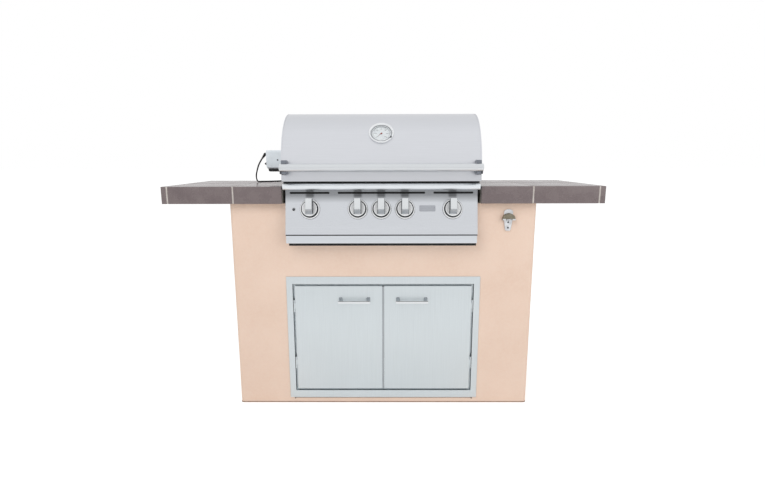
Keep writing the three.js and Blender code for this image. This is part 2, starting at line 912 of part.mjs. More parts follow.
function buildBullnose() {
  const radius = bullnose.height / 2;
  const bottom = panelTop + seat;
  const top = bottom + bullnose.height;
  const tip = radius - panel.foldReach - bullnose.overhang;
  const shape = new THREE.Shape();
  shape.moveTo(firebox.front - seat, bottom);
  shape.lineTo(firebox.front - seat, top);
  shape.lineTo(tip, top);
  shape.absarc(tip, bottom + radius, radius, Math.PI / 2, Math.PI * 1.5);
  const half = panelHalf + bullnose.sideReach;
  grillPiece("front_bullnose", prismX(shape, grillX - half, grillX + half, arcSteps), stainless);
}

function buildDripTray() {
  const t = dripTray;
  const reach = panel.foldReach + t.frontStand;
  const frontHalf = panelHalf - t.frontInset;
  const front = block(
    grillX - frontHalf,
    grillX + frontHalf,
    -reach,
    t.frontThickness - reach,
    trayFrontBottom,
    trayFrontTop,
  );
  const panHalf = firebox.halfWidth - trayRail.inset - t.sideGap;
  const panFront = t.frontThickness / 2 - reach;
  const panBack = firebox.back - t.backGap;
  const panBottom = railBottom + trayRail.thickness + seat;
  const panTop = panBottom + t.depth;
  const pan = block(grillX - panHalf, grillX + panHalf, panFront, panBack, panBottom, panTop);
  const hollow = block(
    grillX - panHalf + t.sheet,
    grillX + panHalf - t.sheet,
    t.frontThickness - reach,
    panBack - t.sheet,
    panBottom + t.sheet,
    panTop + overrun,
  );
  grillPiece("drip_tray", join(front, cut(pan, hollow)), stainless);
}

// Rails of the drip tray under the firebox, each an angle with its foot under the pan
function buildTrayRails() {
  const { front, back } = firebox;
  const railTop = fireboxBottom - seat;
  for (const { name, sign } of sides) {
    const railX = grillX + sign * (firebox.halfWidth - trayRail.inset);
    const [r0, r1] = span(railX, railX + sign * trayRail.thickness);
    const [q0, q1] = span(railX + sign * trayRail.thickness, railX - sign * trayRail.foot);
    const web = block(r0, r1, front, back, railBottom, railTop);
    const foot = block(q0, q1, front, back, railBottom, railBottom + trayRail.thickness);
    grillPiece(`tray_rail_${name}`, join(web, foot), stainless);
  }
}

// Firebox: an open liner with ledges, flanges that rest on the counter, and upright ears on its
// sides for the spit rod, the warming rack and the hood's hinge
function buildFirebox() {
  const f = firebox;
  const sheet = f.sheet;
  const left = grillX - f.halfWidth;
  const right = grillX + f.halfWidth;
  const bottom = fireboxBottom;
  const shell = cut(
    block(left, right, f.front, f.back, bottom, f.rim),
    block(left + sheet, right - sheet, f.front + sheet, f.back - sheet, bottom + sheet, f.rim + overrun),
    block(
      left + f.floorRim,
      right - f.floorRim,
      f.front + f.floorRim,
      f.back - f.floorRim,
      bottom - overrun,
      f.rim,
    ),
  );
  const parts = [shell];
  for (const z of [grateLedge, plateLedge]) {
    parts.push(block(left, right, f.front, f.front + sheet + f.ledgeDepth, z - f.ledgeThickness, z));
    parts.push(block(left, right, f.back - sheet - f.ledgeDepth, f.back, z - f.ledgeThickness, z));
  }
  parts.push(
    block(grillX - backRiseHalf, grillX + backRiseHalf, f.back - sheet, f.back, bottom, backRiseTop),
  );
  for (const { sign } of sides) {
    const wall = grillX + sign * f.halfWidth;
    const [x0, x1] = span(wall - sign * sheet, wall + sign * f.flangeReach);
    parts.push(block(x0, x1, f.flangeFront, f.back + f.flangeTail, seat, seat + f.flangeThickness));
    const [e0, e1] = span(wall, wall - sign * hood.earThickness);
    const foot = f.rim - sheet;
    parts.push(block(e0, e1, spitY - spit.earHalf, spitY + spit.earHalf, foot, spitZ + spit.earRise));
    parts.push(block(e0, e1, rackFront, rackBack, foot, rackHeight - rack.rod / 2 - seat));
    const [low, high] = [hingeHeight - hood.earRadius, hingeHeight + hood.earRadius];
    parts.push(block(e0, e1, f.back - hood.earRadius * 2, f.back, seat, high));
    parts.push(block(e0, e1, f.back - hood.earRadius, hingeBack, low, high));
    parts.push(rodX(hood.earRadius * 2, e0, e1, hingeBack, hingeHeight, dialSides));
  }
  const cutters = [];
  const notch = spitAcross + spit.notchClearance * 2;
  const across = [left - overrun, right + overrun];
  cutters.push(rodX(notch, ...across, spitY, spitZ));
  cutters.push(block(...across, spitY - notch / 2, spitY + notch / 2, spitZ, spitZ + overrun));
  cutters.push(rodX(hood.pinDiameter + runningGap * 2, ...across, hingeBack, hingeHeight, pinSides));
  const inletHole = burner.inletDiameter + runningGap * 2;
  const pegHole = burner.pegDiameter + runningGap * 2;
  for (const x of burnerPlaces) {
    cutters.push(rodY(inletHole, grillX + x, 0, f.front + sheet * 2, burnerHeight));
    cutters.push(rodY(pegHole, grillX + x, f.back - sheet * 2, f.back + overrun, burnerHeight, pinSides));
  }
  grillPiece("firebox", cut(join(...parts), ...cutters), stainless);
}

// Burner tubes with an inlet through the front wall and a peg in the back wall
function buildBurners() {
  burnerPlaces.forEach((place, index) => {
    const x = grillX + place;
    const tube = rodY(burner.diameter, x, burnerFront, burnerBack, burnerHeight);
    const inlet = rodY(
      burner.inletDiameter,
      x,
      firebox.front - seat,
      burnerFront + burner.wall,
      burnerHeight,
    );
    const peg = rodY(burner.pegDiameter, x, burnerBack - burner.wall, firebox.back, burnerHeight, pinSides);
    grillPiece(`burner_${index + 1}`, join(tube, inlet, peg), stainless);
  });
}

// Heat plates: bent roofs over the burners, on the lower ledges
function buildHeatPlates() {
  const { halfWidth, rise, thickness } = heatPlate;
  const base = plateLedge + seat;
  const section = (x) =>
    polygon([
      [x - halfWidth, base],
      [x - halfWidth + thickness * 2, base],
      [x, base + rise - thickness * 1.5],
      [x + halfWidth - thickness * 2, base],
      [x + halfWidth, base],
      [x, base + rise],
    ]);
  const y0 = firebox.front + firebox.sheet + seat;
  const y1 = firebox.back - firebox.sheet - seat;
  burnerPlaces.forEach((x, index) => {
    grillPiece(`heat_plate_${index + 1}`, prismY(section(grillX + x), y0, y1), darkSteel);
  });
}

// Cooking grates on the upper ledges
function buildGrates() {
  const inner = firebox.halfWidth - firebox.sheet - seat;
  const width = (inner * 2 - grate.gap * (grateCount - 1)) / grateCount;
  const y0 = firebox.front + firebox.sheet + seat;
  const y1 = firebox.back - firebox.sheet - seat;
  const z0 = grateLedge + seat;
  const z1 = z0 + grate.bar;
  for (let index = 0; index < grateCount; index += 1) {
    const x0 = grillX - inner + index * (width + grate.gap);
    const bars = [
      block(x0, x0 + width, y0, y0 + grate.bar, z0, z1),
      block(x0, x0 + width, y1 - grate.bar, y1, z0, z1),
    ];
    const pitch = (width - grate.bar) / (grateRodCount - 1);
    for (let rod = 0; rod < grateRodCount; rod += 1) {
      const x = x0 + grate.bar / 2 + rod * pitch;
      bars.push(block(x - grate.bar / 2, x + grate.bar / 2, y0, y1, z0, z1));
    }
    grillPiece(`grate_${index + 1}`, join(...bars), castSteel);
  }
}

// Infrared burner of the rotisserie on the raised back wall
function buildRearBurner() {
  const r = rearBurner;
  const half = backRiseHalf - r.inset;
  const bottom = firebox.rim + r.lift;
  const top = backRiseTop - r.topDrop;
  const back = firebox.back - firebox.sheet - seat;
  const box = block(grillX - half, grillX + half, back - r.depth, back, bottom, top);
  const face = block(
    grillX - half + r.border,
    grillX + half - r.border,
    back - r.depth - overrun,
    back - r.depth + r.screenDepth,
    bottom + r.border,
    top - r.border,
  );
  grillPiece("rear_burner", cut(box, face), darkSteel);
}

// Warming rack: a welded grid that lies on ears of the firebox
function buildRack() {
  const half = firebox.halfWidth;
  const d = rack.rod;
  const low = rackHeight - d / 2;
  const high = rackHeight + d / 2;
  const pitch = (half * 2 - d) / rackWindowCount;
  const windows = [];
  for (let index = 0; index < rackWindowCount; index += 1) {
    const x = grillX - half + d / 2 + index * pitch;
    windows.push(
      block(x + d / 2, x + pitch - d / 2, rackFront + d, rackBack - d, low - overrun, high + overrun),
    );
  }
  const plate = block(grillX - half, grillX + half, rackFront, rackBack, low, high);
  grillPiece("warming_rack", cut(plate, ...windows), chromed);
}

// Hood outline in Y and Z, drawn at a distance inside the outer skin
function hoodOutline(inset, bottom) {
  const front = inset - hood.frontReach;
  const back = hoodBack - inset;
  const top = hoodTop - inset;
  const r = hood.frontRadius - inset;
  const s = hood.rearRadius - inset;
  const shape = new THREE.Shape();
  shape.moveTo(back, bottom);
  shape.lineTo(back, top - s);
  shape.absarc(back - s, top - s, s, 0, Math.PI / 2);
  shape.lineTo(front + r, top);
  shape.absarc(front + r, top - r, r, Math.PI / 2, Math.PI);
  shape.lineTo(front, bottom);
  return shape;
}

const gaugeHeight = hoodLip + thermometer.lift;
const gaugeLean = Math.asin((gaugeHeight - hoodTop + hood.frontRadius) / hood.frontRadius);
const gaugeY = hood.frontRadius - hood.frontReach - hood.frontRadius * Math.cos(gaugeLean);
const gaugeFrame = leaningFrame(grillX, gaugeY, gaugeHeight, gaugeLean);

function buildHood() {
  const left = grillX - hoodHalf;
  const right = grillX + hoodHalf;
  const sheet = hood.sheet;
  const outer = prismX(hoodOutline(0, hoodLip), left, right, arcSteps);
  const inner = prismX(hoodOutline(sheet, hoodLip - overrun), left + sheet, right - sheet, arcSteps);
  const across = [left - overrun, left + overrun / 2];
  const slotHalf = spitAcross / 2 + hood.spitSlotMargin;
  const slot = block(...across, spitY - slotHalf, spitY + slotHalf, hoodLip - overrun, spitZ);
  const slotEnd = rodX(slotHalf * 2, ...across, spitY, spitZ);
  const rear = block(
    left + sheet,
    right - sheet,
    hoodBack - sheet * 2,
    hoodBack + overrun,
    hoodLip - overrun,
    hoodLip + hood.rearGap,
  );
  const gaugeHole = rodOut(thermometer.flangeDiameter + seat * 2, -overrun, overrun, dialSides);
  const pinBore = hood.pinDiameter + runningGap * 2;
  const pinHole = rodX(pinBore, left - overrun, right + overrun, hingeBack, hingeHeight, pinSides);
  const shell = cut(outer, inner, slot, slotEnd, rear, gaugeHole.applyMatrix4(gaugeFrame), pinHole);
  grillPiece("hood_shell", shell, stainless);

  const half = hoodHalf - hoodHandle.endInset;
  const bar = rodX(hoodHandle.diameter, grillX - half, grillX + half, handleBarY, handleBarZ, dialSides);
  grillPiece("hood_handle", bar, stainless);
  const saddleBore = hoodHandle.diameter + seat * 2;
  const saddle = rodX(saddleBore, left - overrun, right + overrun, handleBarY, handleBarZ, dialSides);
  const b = handleBracket;
  const rise = b.height / 2;
  const shape = roundedRect(
    handleBarY,
    b.round - hood.frontReach,
    handleBarZ - rise,
    handleBarZ + rise,
    b.round,
  );
  for (const { name, sign } of sides) {
    const end = hoodHalf - b.endInset;
    const [x0, x1] = span(grillX + sign * end, grillX + sign * (end - b.width));
    const inFront = block(x0, x1, handleBarY, -hood.frontReach - seat, handleBarZ - rise, handleBarZ + rise);
    grillPiece(`handle_bracket_${name}`, cut(common(prismX(shape, x0, x1), inFront), saddle), darkSteel);

    const ear = grillX + sign * firebox.halfWidth;
    const outside = grillX + sign * (hoodHalf + seat);
    const [p0, p1] = span(ear - sign * hood.earThickness, outside);
    const [h0, h1] = span(outside, outside + sign * hood.headThickness);
    const pin = join(
      rodX(hood.pinDiameter, p0, p1, hingeBack, hingeHeight, pinSides),
      rodX(hood.headDiameter, h0, h1, hingeBack, hingeHeight),
    );
    grillPiece(`hood_hinge_pin_${name}`, pin, chromed);
  }
}

// Thermometer: a case let into the hood, with a needle over the bare dial
function buildThermometer() {
  const t = thermometer;
  const outer = t.flangeDiameter / 2;
  const rim = t.bezelDiameter / 2;
  const dialTop = t.bezelLift - t.dialDepth;
  const body = turned([
    [0, -t.depth],
    [outer, -t.depth],
    [outer, t.flangeLift],
    [rim, t.flangeLift + (t.bezelLift - t.flangeLift) / 3],
    [rim, t.bezelLift],
    [0, t.bezelLift],
  ]);
  const dial = rodOut(t.dialDiameter, dialTop, t.bezelLift + overrun, dialSides);
  const bore = rodOut(t.stemDiameter + runningGap * 2, dialTop - t.stemDepth - seat, t.bezelLift, pinSides);
  const spot = leaningGroup(gaugeFrame);
  piece("thermometer_case", cut(body, dial, bore), stainless, spot);
  const low = dialTop + seat;
  const pointer = block(
    -t.needleWidth / 2,
    t.needleWidth / 2,
    0,
    t.needleLength,
    low,
    low + t.needleThickness,
  );
  const hub = rodOut(t.hubDiameter, low, low + t.needleThickness * 2, pinSides);
  const stem = rodOut(t.stemDiameter, dialTop - t.stemDepth, low + t.needleThickness, pinSides);
  piece("thermometer_needle", join(pointer, hub, stem).rotateZ(t.coldAngle), needleRed, spot);
}

// Rotisserie
const glandStart = new THREE.Vector3(motorLeft - seat, spitY, motorBottom + cord.exitLift);

function buildRotisserie() {
  const half = spit.size / 2;
  const rodEnd = motorRight - motor.socketDepth + seat;
  const farEnd = grillX + firebox.halfWidth + spit.endReach;
  const bar = block(rodEnd, farEnd, spitY - half, spitY + half, spitZ - half, spitZ + half);
  grillPiece("spit_rod", bar, chromed);

  const front = spitY - motor.halfDepth;
  const back = spitY + motor.halfDepth;
  const outline = roundedRect(front, back, motorBottom, motorTop, motor.round);
  const hole = spitAcross + runningGap * 2;
  const socket = rodX(hole, motorRight - motor.socketDepth, motorRight + overrun, spitY, spitZ);
  const switchY = spitY - motor.switchForward;
  const switchZ = motorBottom + motor.switchLift;
  const switchBore = motor.switchDiameter + runningGap * 2;
  const seatEnd = motorLeft + motor.switchSeatDepth + motor.switchTravel;
  const switchSeat = rodX(switchBore, motorLeft - overrun, seatEnd, switchY, switchZ, pinSides);
  grillPiece("motor_housing", cut(prismX(outline, motorLeft, motorRight), socket, switchSeat), stainless);

  const base = block(
    motorLeft + motor.baseInset,
    motorRight - motor.baseInset,
    front + motor.round,
    back - motor.round,
    motorBottom - motor.baseHeight,
    motorBottom - seat,
  );
  grillPiece("motor_base", base, blackPlastic);

  const halfPlate = motor.bracketThickness / 2;
  const plateFoot = seat + firebox.flangeThickness + seat;
  const plate = block(
    motorBracketX - halfPlate,
    motorBracketX + halfPlate,
    front,
    back,
    plateFoot,
    motorTop,
  );
  const rodHole = rodX(
    hole + runningGap * 2,
    motorBracketX - overrun,
    motorBracketX + overrun,
    spitY,
    spitZ,
  );
  grillPiece("motor_bracket", cut(plate, rodHole), stainless);

  const switchStart = motorLeft - motor.switchReach;
  const switchEnd = motorLeft + motor.switchSeatDepth - seat;
  const button = rodX(motor.switchDiameter, switchStart, switchEnd, switchY, switchZ, pinSides);
  grillPiece("motor_switch", button, blackPlastic);
}

// Route of the motor's cord, chosen by hand, with X from the motor's outer side: it hangs from the
// motor, comes down on the counter, runs behind the grill to the coil, and leaves that for the plug
const cordRest = cord.diameter / 2 + seat;
const hangingRoute = [
  [-20.5, 207.5, 116.3],
  [-25.7, 212.4, 110.8],
  [-46, 240, 87],
  [-60, 268, 66],
  [-79, 320, 35],
  [-87.5, 365, 15],
  [-89, 392, 6.5],
];
const lyingRoute = [
  [-85.5, 412],
  [-75, 428],
  [-61, 441],
  [-45, 453],
  [-26, 466],
  [-10, 481],
  [-1, 503],
  [1.4, 527],
  [1.7, 545],
];
const plugRoute = [
  [93.5, 545, 11.2],
  [88.5, 533, 10.3],
  [83, 524, 9.9],
  [79.5, 517.5, 9.8],
];
const plugPlace = [78, 512, plug.bodyHeight / 2 + seat];

function cordPlace([x, y, z = cordRest]) {
  return new THREE.Vector3(motorLeft + x, y, z);
}
const plugStart = cordPlace(plugPlace);

// The unseen length lies in a round coil of two layers behind the grill. It winds in on the
// counter, climbs a layer in the half turn where the spiral reverses, and winds out again.
function coilPoints() {
  const turns = cord.layerTurns * 2 + cord.climbTurns;
  const middle = turns / 2;
  const inner = cord.meanRadius - (cord.pitch * cord.layerTurns) / 2;
  const at = (turn) => {
    const angle = Math.PI - turn * Math.PI * 2;
    const fromMiddle = Math.abs(turn - middle);
    const radius = inner + (fromMiddle - cord.climbTurns / 2) * cord.pitch;
    const climb = Math.min(1, Math.max(0, (turn - cord.layerTurns) / cord.climbTurns));
    const lift = cord.pitch * climb * climb * (3 - 2 * climb);
    const place = new THREE.Vector3(Math.cos(angle), Math.sin(angle), 0).multiplyScalar(radius);
    return place.add(new THREE.Vector3(motorLeft + cord.coilX, cord.coilY, cordRest + lift));
  };
  const steps = Math.round(turns * cord.stepsPerTurn);
  const points = [];
  for (let step = 0; step <= steps; step += 1) {
    points.push(at((step / steps) * turns));
  }
  const straight = new THREE.Vector3(0, cord.diameter, 0);
  points.unshift(points[0].clone().sub(straight));
  points.push(points[points.length - 1].clone().sub(straight));
  return points;
}

function leastGap(points) {
  let least = Infinity;
  for (let a = 0; a < points.length; a += 1) {
    for (let b = a + Math.round(cord.stepsPerTurn / 2); b < points.length; b += 1) {
      least = Math.min(least, points[a].distanceTo(points[b]));
    }
  }
  return least - cord.diameter;
}

function roundSection(diameter, sectionSides) {
  const corners = [];
  for (let side = 0; side < sectionSides; side += 1) {
    const angle = (side / sectionSides) * Math.PI * 2;
    corners.push([(Math.cos(angle) * diameter) / 2, (Math.sin(angle) * diameter) / 2]);
  }
  return polygon(corners);
}

function tubeAlong(points, sectionSides, steps) {
  const extrudePath = new THREE.CatmullRomCurve3(points);
  return new THREE.ExtrudeGeometry(
    roundSection(cord.diameter, sectionSides),
    { steps, extrudePath, curveSegments: 1 },
  );
}

function curveLength(points) {
  return new THREE.CatmullRomCurve3(points).getLength();
}

function buildCord() {
  const coil = coilPoints();
  const gap = leastGap(coil);
  if (gap < cord.leastGap) {
    throw new Error(`the coil's turns are ${gap.toFixed(2)} mm apart`);
  }
  const coilEnd = coil[coil.length - 1];
  const before = (point, distance) => point.clone().setY(point.y - distance);
  const lead = [...hangingRoute.map(cordPlace), ...lyingRoute.map(cordPlace), before(coil[0], seat)];
  const tail = [
    before(coilEnd, seat),
    before(coilEnd, cord.diameter),
    ...plugRoute.map(cordPlace),
    before(plugStart, -seat),
  ];
  const diameters = (points, perStep) => Math.ceil(curveLength(points) / (cord.diameter * perStep));
  grillPiece("cord_lead", tubeAlong(lead, cordSides, diameters(lead, 2)), blackPlastic);
  grillPiece("cord_coil", tubeAlong(coil, coilSides, coil.length - 1), blackPlastic);
  grillPiece("cord_tail", tubeAlong(tail, cordSides, diameters(tail, 1)), blackPlastic);
  const total = curveLength(lead) + curveLength(coil) + curveLength(tail);
  console.log(`cord ${total.toFixed(0)} mm, least gap between its turns ${gap.toFixed(2)} mm`);
  buildGland(lead);
  buildPlug(tail);
}

function axisMatrix(start, direction) {
  const turn = new THREE.Quaternion().setFromUnitVectors(new THREE.Vector3(0, 0, 1), direction);
  return new THREE.Matrix4().compose(start, turn, new THREE.Vector3(1, 1, 1));
}

// Angled strain relief where the cord leaves the motor
function buildGland(lead) {
  const elbow = glandStart.clone().setX(glandStart.x - cord.glandSeatLength);
  const towards = lead[0].clone().sub(elbow);
  const length = towards.length() - seat * 2;
  const foot = rodX(cord.glandDiameter, elbow.x, glandStart.x, glandStart.y, glandStart.z, pinSides);
  const ball = new THREE.SphereGeometry(
    cord.glandDiameter / 2,
    pinSides,
    pinSides / 2,
  ).translate(...elbow.toArray());
  const cone = turned(
    [
      [0, 0],
      [cord.glandDiameter / 2, 0],
      [cord.diameter / 2 + seat, length],
      [0, length],
    ],
    pinSides,
  );
  const taper = cone.applyMatrix4(axisMatrix(elbow, towards.normalize()));
  const outside = block(-halfCounter, glandStart.x, 0, bodyDepth, 0, hoodTop);
  grillPiece("cord_gland", common(join(foot, ball, taper), outside), blackPlastic);
}

// Moulded three-pin plug, lying in front of the coil
function buildPlug(tail) {
  const direction = plugStart.clone().sub(tail[tail.length - 2]).setZ(0).normalize();
  const halfW = plug.bodyWidth / 2;
  const halfH = plug.bodyHeight / 2;
  const bodyStart = plug.reliefLength;
  const bodyEnd = bodyStart + plug.bodyLength;
  const relief = turned(
    [
      [0, 0],
      [plug.reliefDiameter / 2, 0],
      [halfH - plug.round / 2, bodyStart + plug.round],
      [0, bodyStart + plug.round],
    ],
    pinSides,
  );
  const body = prismZ(roundedRect(-halfW, halfW, -halfH, halfH, plug.round), bodyStart, bodyEnd);
  const bladeEnd = bodyEnd + plug.bladeLength;
  const blades = sides.map(({ sign }) => {
    const x = (sign * plug.bladeSpacing) / 2;
    const t = plug.bladeThickness / 2;
    const w = plug.bladeWidth / 2;
    return block(x - t, x + t, -w, w, bodyEnd - plug.round, bladeEnd);
  });
  const ground = rodOut(plug.groundDiameter, bodyEnd - plug.round, bladeEnd, pinSides, 0, -plug.groundDrop);
  const level = new THREE.Matrix4().makeBasis(
    new THREE.Vector3(-direction.y, direction.x, 0),
    new THREE.Vector3(0, 0, 1),
    direction,
  );
  const whole = join(relief, body, ...blades, ground);
  grillPiece("plug", whole.applyMatrix4(level).translate(...plugStart.toArray()), blackPlastic);
}

// Cast bottle opener: a long plate with a hooded catch at the top
function buildOpener() {
  const o = opener;
  const front = -o.plateThickness - seat;
  const panelEnd = grillX + panelHalf;
  const x = panelEnd + (halfBody - panelEnd) * o.placeShare;
  const halfW = o.plateWidth / 2;
  const plateTop = bodyHeight - o.drop;
  const plateBottom = plateTop - o.plateHeight;
  const plate = prismY(
    roundedRect(x - halfW, x + halfW, plateBottom, plateTop, o.plateRound),
    front,
    -seat,
  );
  const halfH = o.hoodWidth / 2;
  const capTop = plateTop + o.hoodHeight / 2;
  const capBottom = capTop - o.hoodHeight;
  const round = o.hoodHeight / 2 - o.wall / 2;
  const cap = prismY(roundedRect(x - halfH, x + halfH, capBottom, capTop, round), -o.hoodReach, -seat);
  const hollow = block(
    x - halfH + o.wall,
    x + halfH - o.wall,
    -o.hoodReach + o.wall,
    front,
    capBottom - overrun,
    capTop - o.wall,
  );
  const tooth = block(
    x - o.toothWidth / 2,
    x + o.toothWidth / 2,
    -o.hoodReach + o.wall / 2,
    -o.hoodReach + o.wall * 2,
    capBottom,
    capBottom + o.toothHeight,
  );
  piece("bottle_opener", join(plate, cut(cap, hollow), tooth), castSteel);
}

buildWalls();
buildStudFrame();
buildCounter();
buildDoorSurround();
buildDoors();
buildControlPanel();
buildKnobs();
buildLightButton();
buildManifold();
buildBullnose();
buildDripTray();
buildTrayRails();
buildFirebox();
buildBurners();
buildHeatPlates();
buildGrates();
buildRearBurner();
buildRack();
buildHood();
buildThermometer();
buildRotisserie();
buildCord();
buildOpener();

// The handle is the foremost piece and the counter's back edge the rearmost
const foremost = handleBarY - hoodHandle.diameter / 2;
island.position.y = -(foremost + counterBack) / 2;

const model = new THREE.Group();
model.add(island);
export default model;
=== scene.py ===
import json
import math

import bmesh
import bpy
from mathutils import Matrix, Vector, noise


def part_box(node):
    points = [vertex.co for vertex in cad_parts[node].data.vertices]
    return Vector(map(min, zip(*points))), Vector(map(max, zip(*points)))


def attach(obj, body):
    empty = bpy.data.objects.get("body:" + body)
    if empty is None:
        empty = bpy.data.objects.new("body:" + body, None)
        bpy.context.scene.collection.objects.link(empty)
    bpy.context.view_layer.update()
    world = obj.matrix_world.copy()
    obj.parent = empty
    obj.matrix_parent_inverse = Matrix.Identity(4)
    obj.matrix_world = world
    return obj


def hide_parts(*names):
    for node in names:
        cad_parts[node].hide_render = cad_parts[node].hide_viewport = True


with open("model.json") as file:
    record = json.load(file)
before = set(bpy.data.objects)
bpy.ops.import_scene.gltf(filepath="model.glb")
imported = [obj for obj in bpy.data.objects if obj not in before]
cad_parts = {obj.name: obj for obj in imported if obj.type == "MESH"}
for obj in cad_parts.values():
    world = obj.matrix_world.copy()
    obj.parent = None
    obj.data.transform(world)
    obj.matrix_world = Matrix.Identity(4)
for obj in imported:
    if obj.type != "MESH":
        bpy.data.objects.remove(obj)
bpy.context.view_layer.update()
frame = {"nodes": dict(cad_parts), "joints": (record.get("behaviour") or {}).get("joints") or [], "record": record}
nodes = frame["nodes"]
joints = {joint["name"]: joint for joint in frame["joints"]}

SEAT = 0.0003  # clearance between pieces that lie on each other
OVERRUN = 0.02  # how far a cutter passes its target
TINY = 1e-6
TURN = math.tau
UP = Vector((0, 0, 1))
ALONG_Y = Vector((0, 1, 0))
WALL_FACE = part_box("front_wall")[0].y

# Camera, fitted to the photograph
FRAME_WIDTH, SENSOR = 765, 36
OPTICAL_DROP, FOCAL_PIXELS = 31, 543.127
CAMERA_PLACE = Vector((0.01054, -2.5538, 1.0774))
CAMERA_YAW, CAMERA_PITCH, CAMERA_ROLL = -0.326, 12.316, -0.13


def added(name, data):
    made = bpy.data.objects.new(name, data)
    bpy.context.scene.collection.objects.link(made)
    return made


def make_camera():
    data = bpy.data.cameras.new("camera")
    data.sensor_width = SENSOR
    data.lens = FOCAL_PIXELS / FRAME_WIDTH * SENSOR
    data.shift_y = OPTICAL_DROP / FRAME_WIDTH
    data.clip_start, data.clip_end = 0.05, 200
    camera = added("camera", data)
    angles = [math.radians(a) for a in (CAMERA_YAW, CAMERA_PITCH, CAMERA_ROLL)]
    (sy, cy), (sp, cp), (sr, cr) = [(math.sin(a), math.cos(a)) for a in angles]
    forward = Vector((sy * cp, cy * cp, -sp))
    level = Vector((cy, -sy, 0))
    rise = level.cross(forward)
    axes = Matrix((cr * level + sr * rise, cr * rise - sr * level, -forward))
    camera.matrix_world = Matrix.Translation(CAMERA_PLACE) @ axes.transposed().to_4x4()
    bpy.context.scene.camera = camera


# Forms: each helper gives a closed bmesh in the row frame
def box_of(*names):
    boxes = [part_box(name) for name in names]
    return [Vector([pick(b[k][i] for b in boxes) for i in range(3)]) for k, pick in enumerate((min, max))]


def middle_of(name):
    low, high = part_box(name)
    return (low + high) / 2


def pivot(joint):
    return Vector(joints[joint]["pos_m"])


def axis_of(joint):
    return Vector(joints[joint]["axis"])


def merged(*forms):
    whole = bmesh.new()
    for form in forms:
        mesh = bpy.data.meshes.new("form")
        form.to_mesh(mesh)
        whole.from_mesh(mesh)
        bpy.data.meshes.remove(mesh)
    return whole


def ease(form, edges, width, steps, clamp=True):
    bmesh.ops.bevel(
        form, geom=edges, offset=width, segments=steps, profile=0.5, affect="EDGES", clamp_overlap=clamp
    )


def bevelled(form, width, steps=2, least_angle=0.35):
    bmesh.ops.recalc_face_normals(form, faces=form.faces)
    hard = [e for e in form.edges if e.is_manifold and e.calc_face_angle(0) > least_angle]
    if width > 0:
        ease(form, hard, width, steps)
    return form


def box_form(low, high, width=0.001, steps=2):
    form = bmesh.new()
    bmesh.ops.create_cube(form, size=1)
    low, high = Vector(low), Vector(high)
    for vertex in form.verts:
        vertex.co = [low[i] + (vertex.co[i] + 0.5) * (high[i] - low[i]) for i in range(3)]
    return bevelled(form, width, steps)


def prism_form(outline, start, end, place, width=0.0, steps=2):
    """A closed outline of (u, v) drawn out from start to end; place(u, v, w) gives the row point."""
    form = bmesh.new()
    near, far = [[form.verts.new(place(u, v, w)) for u, v in outline] for w in (start, end)]
    form.faces.new(near)
    form.faces.new(list(reversed(far)))
    count = len(outline)
    for i in range(count):
        j = (i + 1) % count
        form.faces.new((near[j], near[i], far[i], far[j]))
    bmesh.ops.recalc_face_normals(form, faces=form.faces)
    if width > 0:
        caps = [f for f in form.faces if len(f.verts) == count and count > 4] or form.faces[:]
        ease(form, [e for e in form.edges if any(f in caps for f in e.link_faces)], width, steps)
    return form


def along_x(y, z, x):
    return Vector((x, y, z))


def along_y(x, z, y):
    return Vector((x, y, z))


def upright(u, v, w):
    return Vector((u, v, w))


def within(place):
    return lambda u, v, w: place @ Vector((u, v, w))


def frame_at(origin, axis, up=UP):
    """A frame whose local z is the axis and whose local y is as near up as it can be."""
    z = Vector(axis).normalized()
    x = Vector(up).cross(z)
    if x.length < 0.001:
        x = Vector((1, 0, 0))
    x.normalize()
    return Matrix.Translation(Vector(origin)) @ Matrix((x, z.cross(x), z)).transposed().to_4x4()


def arc(u, v, ru, rv, first, share, steps):
    """Points on an arc that starts at a share of a turn and covers another."""
    angles = [(first + i / steps * share) * TURN for i in range(steps + 1)]
    return [(u + ru * math.cos(a), v + rv * math.sin(a)) for a in angles]


def rounded_outline(u0, u1, v0, v1, r, steps=6):
    corners = [(u1 - r, v0 + r, -0.25), (u1 - r, v1 - r, 0), (u0 + r, v1 - r, 0.25), (u0 + r, v0 + r, 0.5)]
    return [point for u, v, first in corners for point in arc(u, v, r, r, first, 0.25, steps)]


def lathe_form(profile, place=Matrix.Identity(4), sides=64):
    """Radii and heights, turned about local z. It is closed where it starts and ends on the axis."""
    form = bmesh.new()
    turns = arc(0, 0, 1, 1, 0, 1, sides)[:sides]
    rings = []
    for radius, height in profile:
        spots = [(radius * c, radius * s, height) for c, s in turns] if radius > 0 else [(0, 0, height)]
        rings.append([form.verts.new(place @ Vector(spot)) for spot in spots])
    pairs = list(zip(rings, rings[1:]))
    if len(rings[0]) > 1 and len(rings[-1]) > 1:
        pairs.append((rings[-1], rings[0]))
    for low, high in pairs:
        for i in range(sides):
            j = (i + 1) % sides
            corners = [low[i % len(low)], low[j % len(low)], high[j % len(high)], high[i % len(high)]]
            corners = list(dict.fromkeys(corners))
            if len(corners) > 2:
                form.faces.new(corners)
    bmesh.ops.recalc_face_normals(form, faces=form.faces)
    return form


def rod_form(start, end, radius, sides=48, edge=0.0006):
    start, end = Vector(start), Vector(end)
    length = (end - start).length
    edge = min(edge, radius / 2, length / 3)
    profile = [(0, 0), (radius - edge, 0), (radius - edge * 0.3, edge * 0.3), (radius, edge)]
    profile += [(r, length - h) for r, h in reversed(profile)]
    up = UP if abs((end - start).normalized().z) < 0.9 else ALONG_Y
    return lathe_form(profile, frame_at(start, end - start, up), sides)


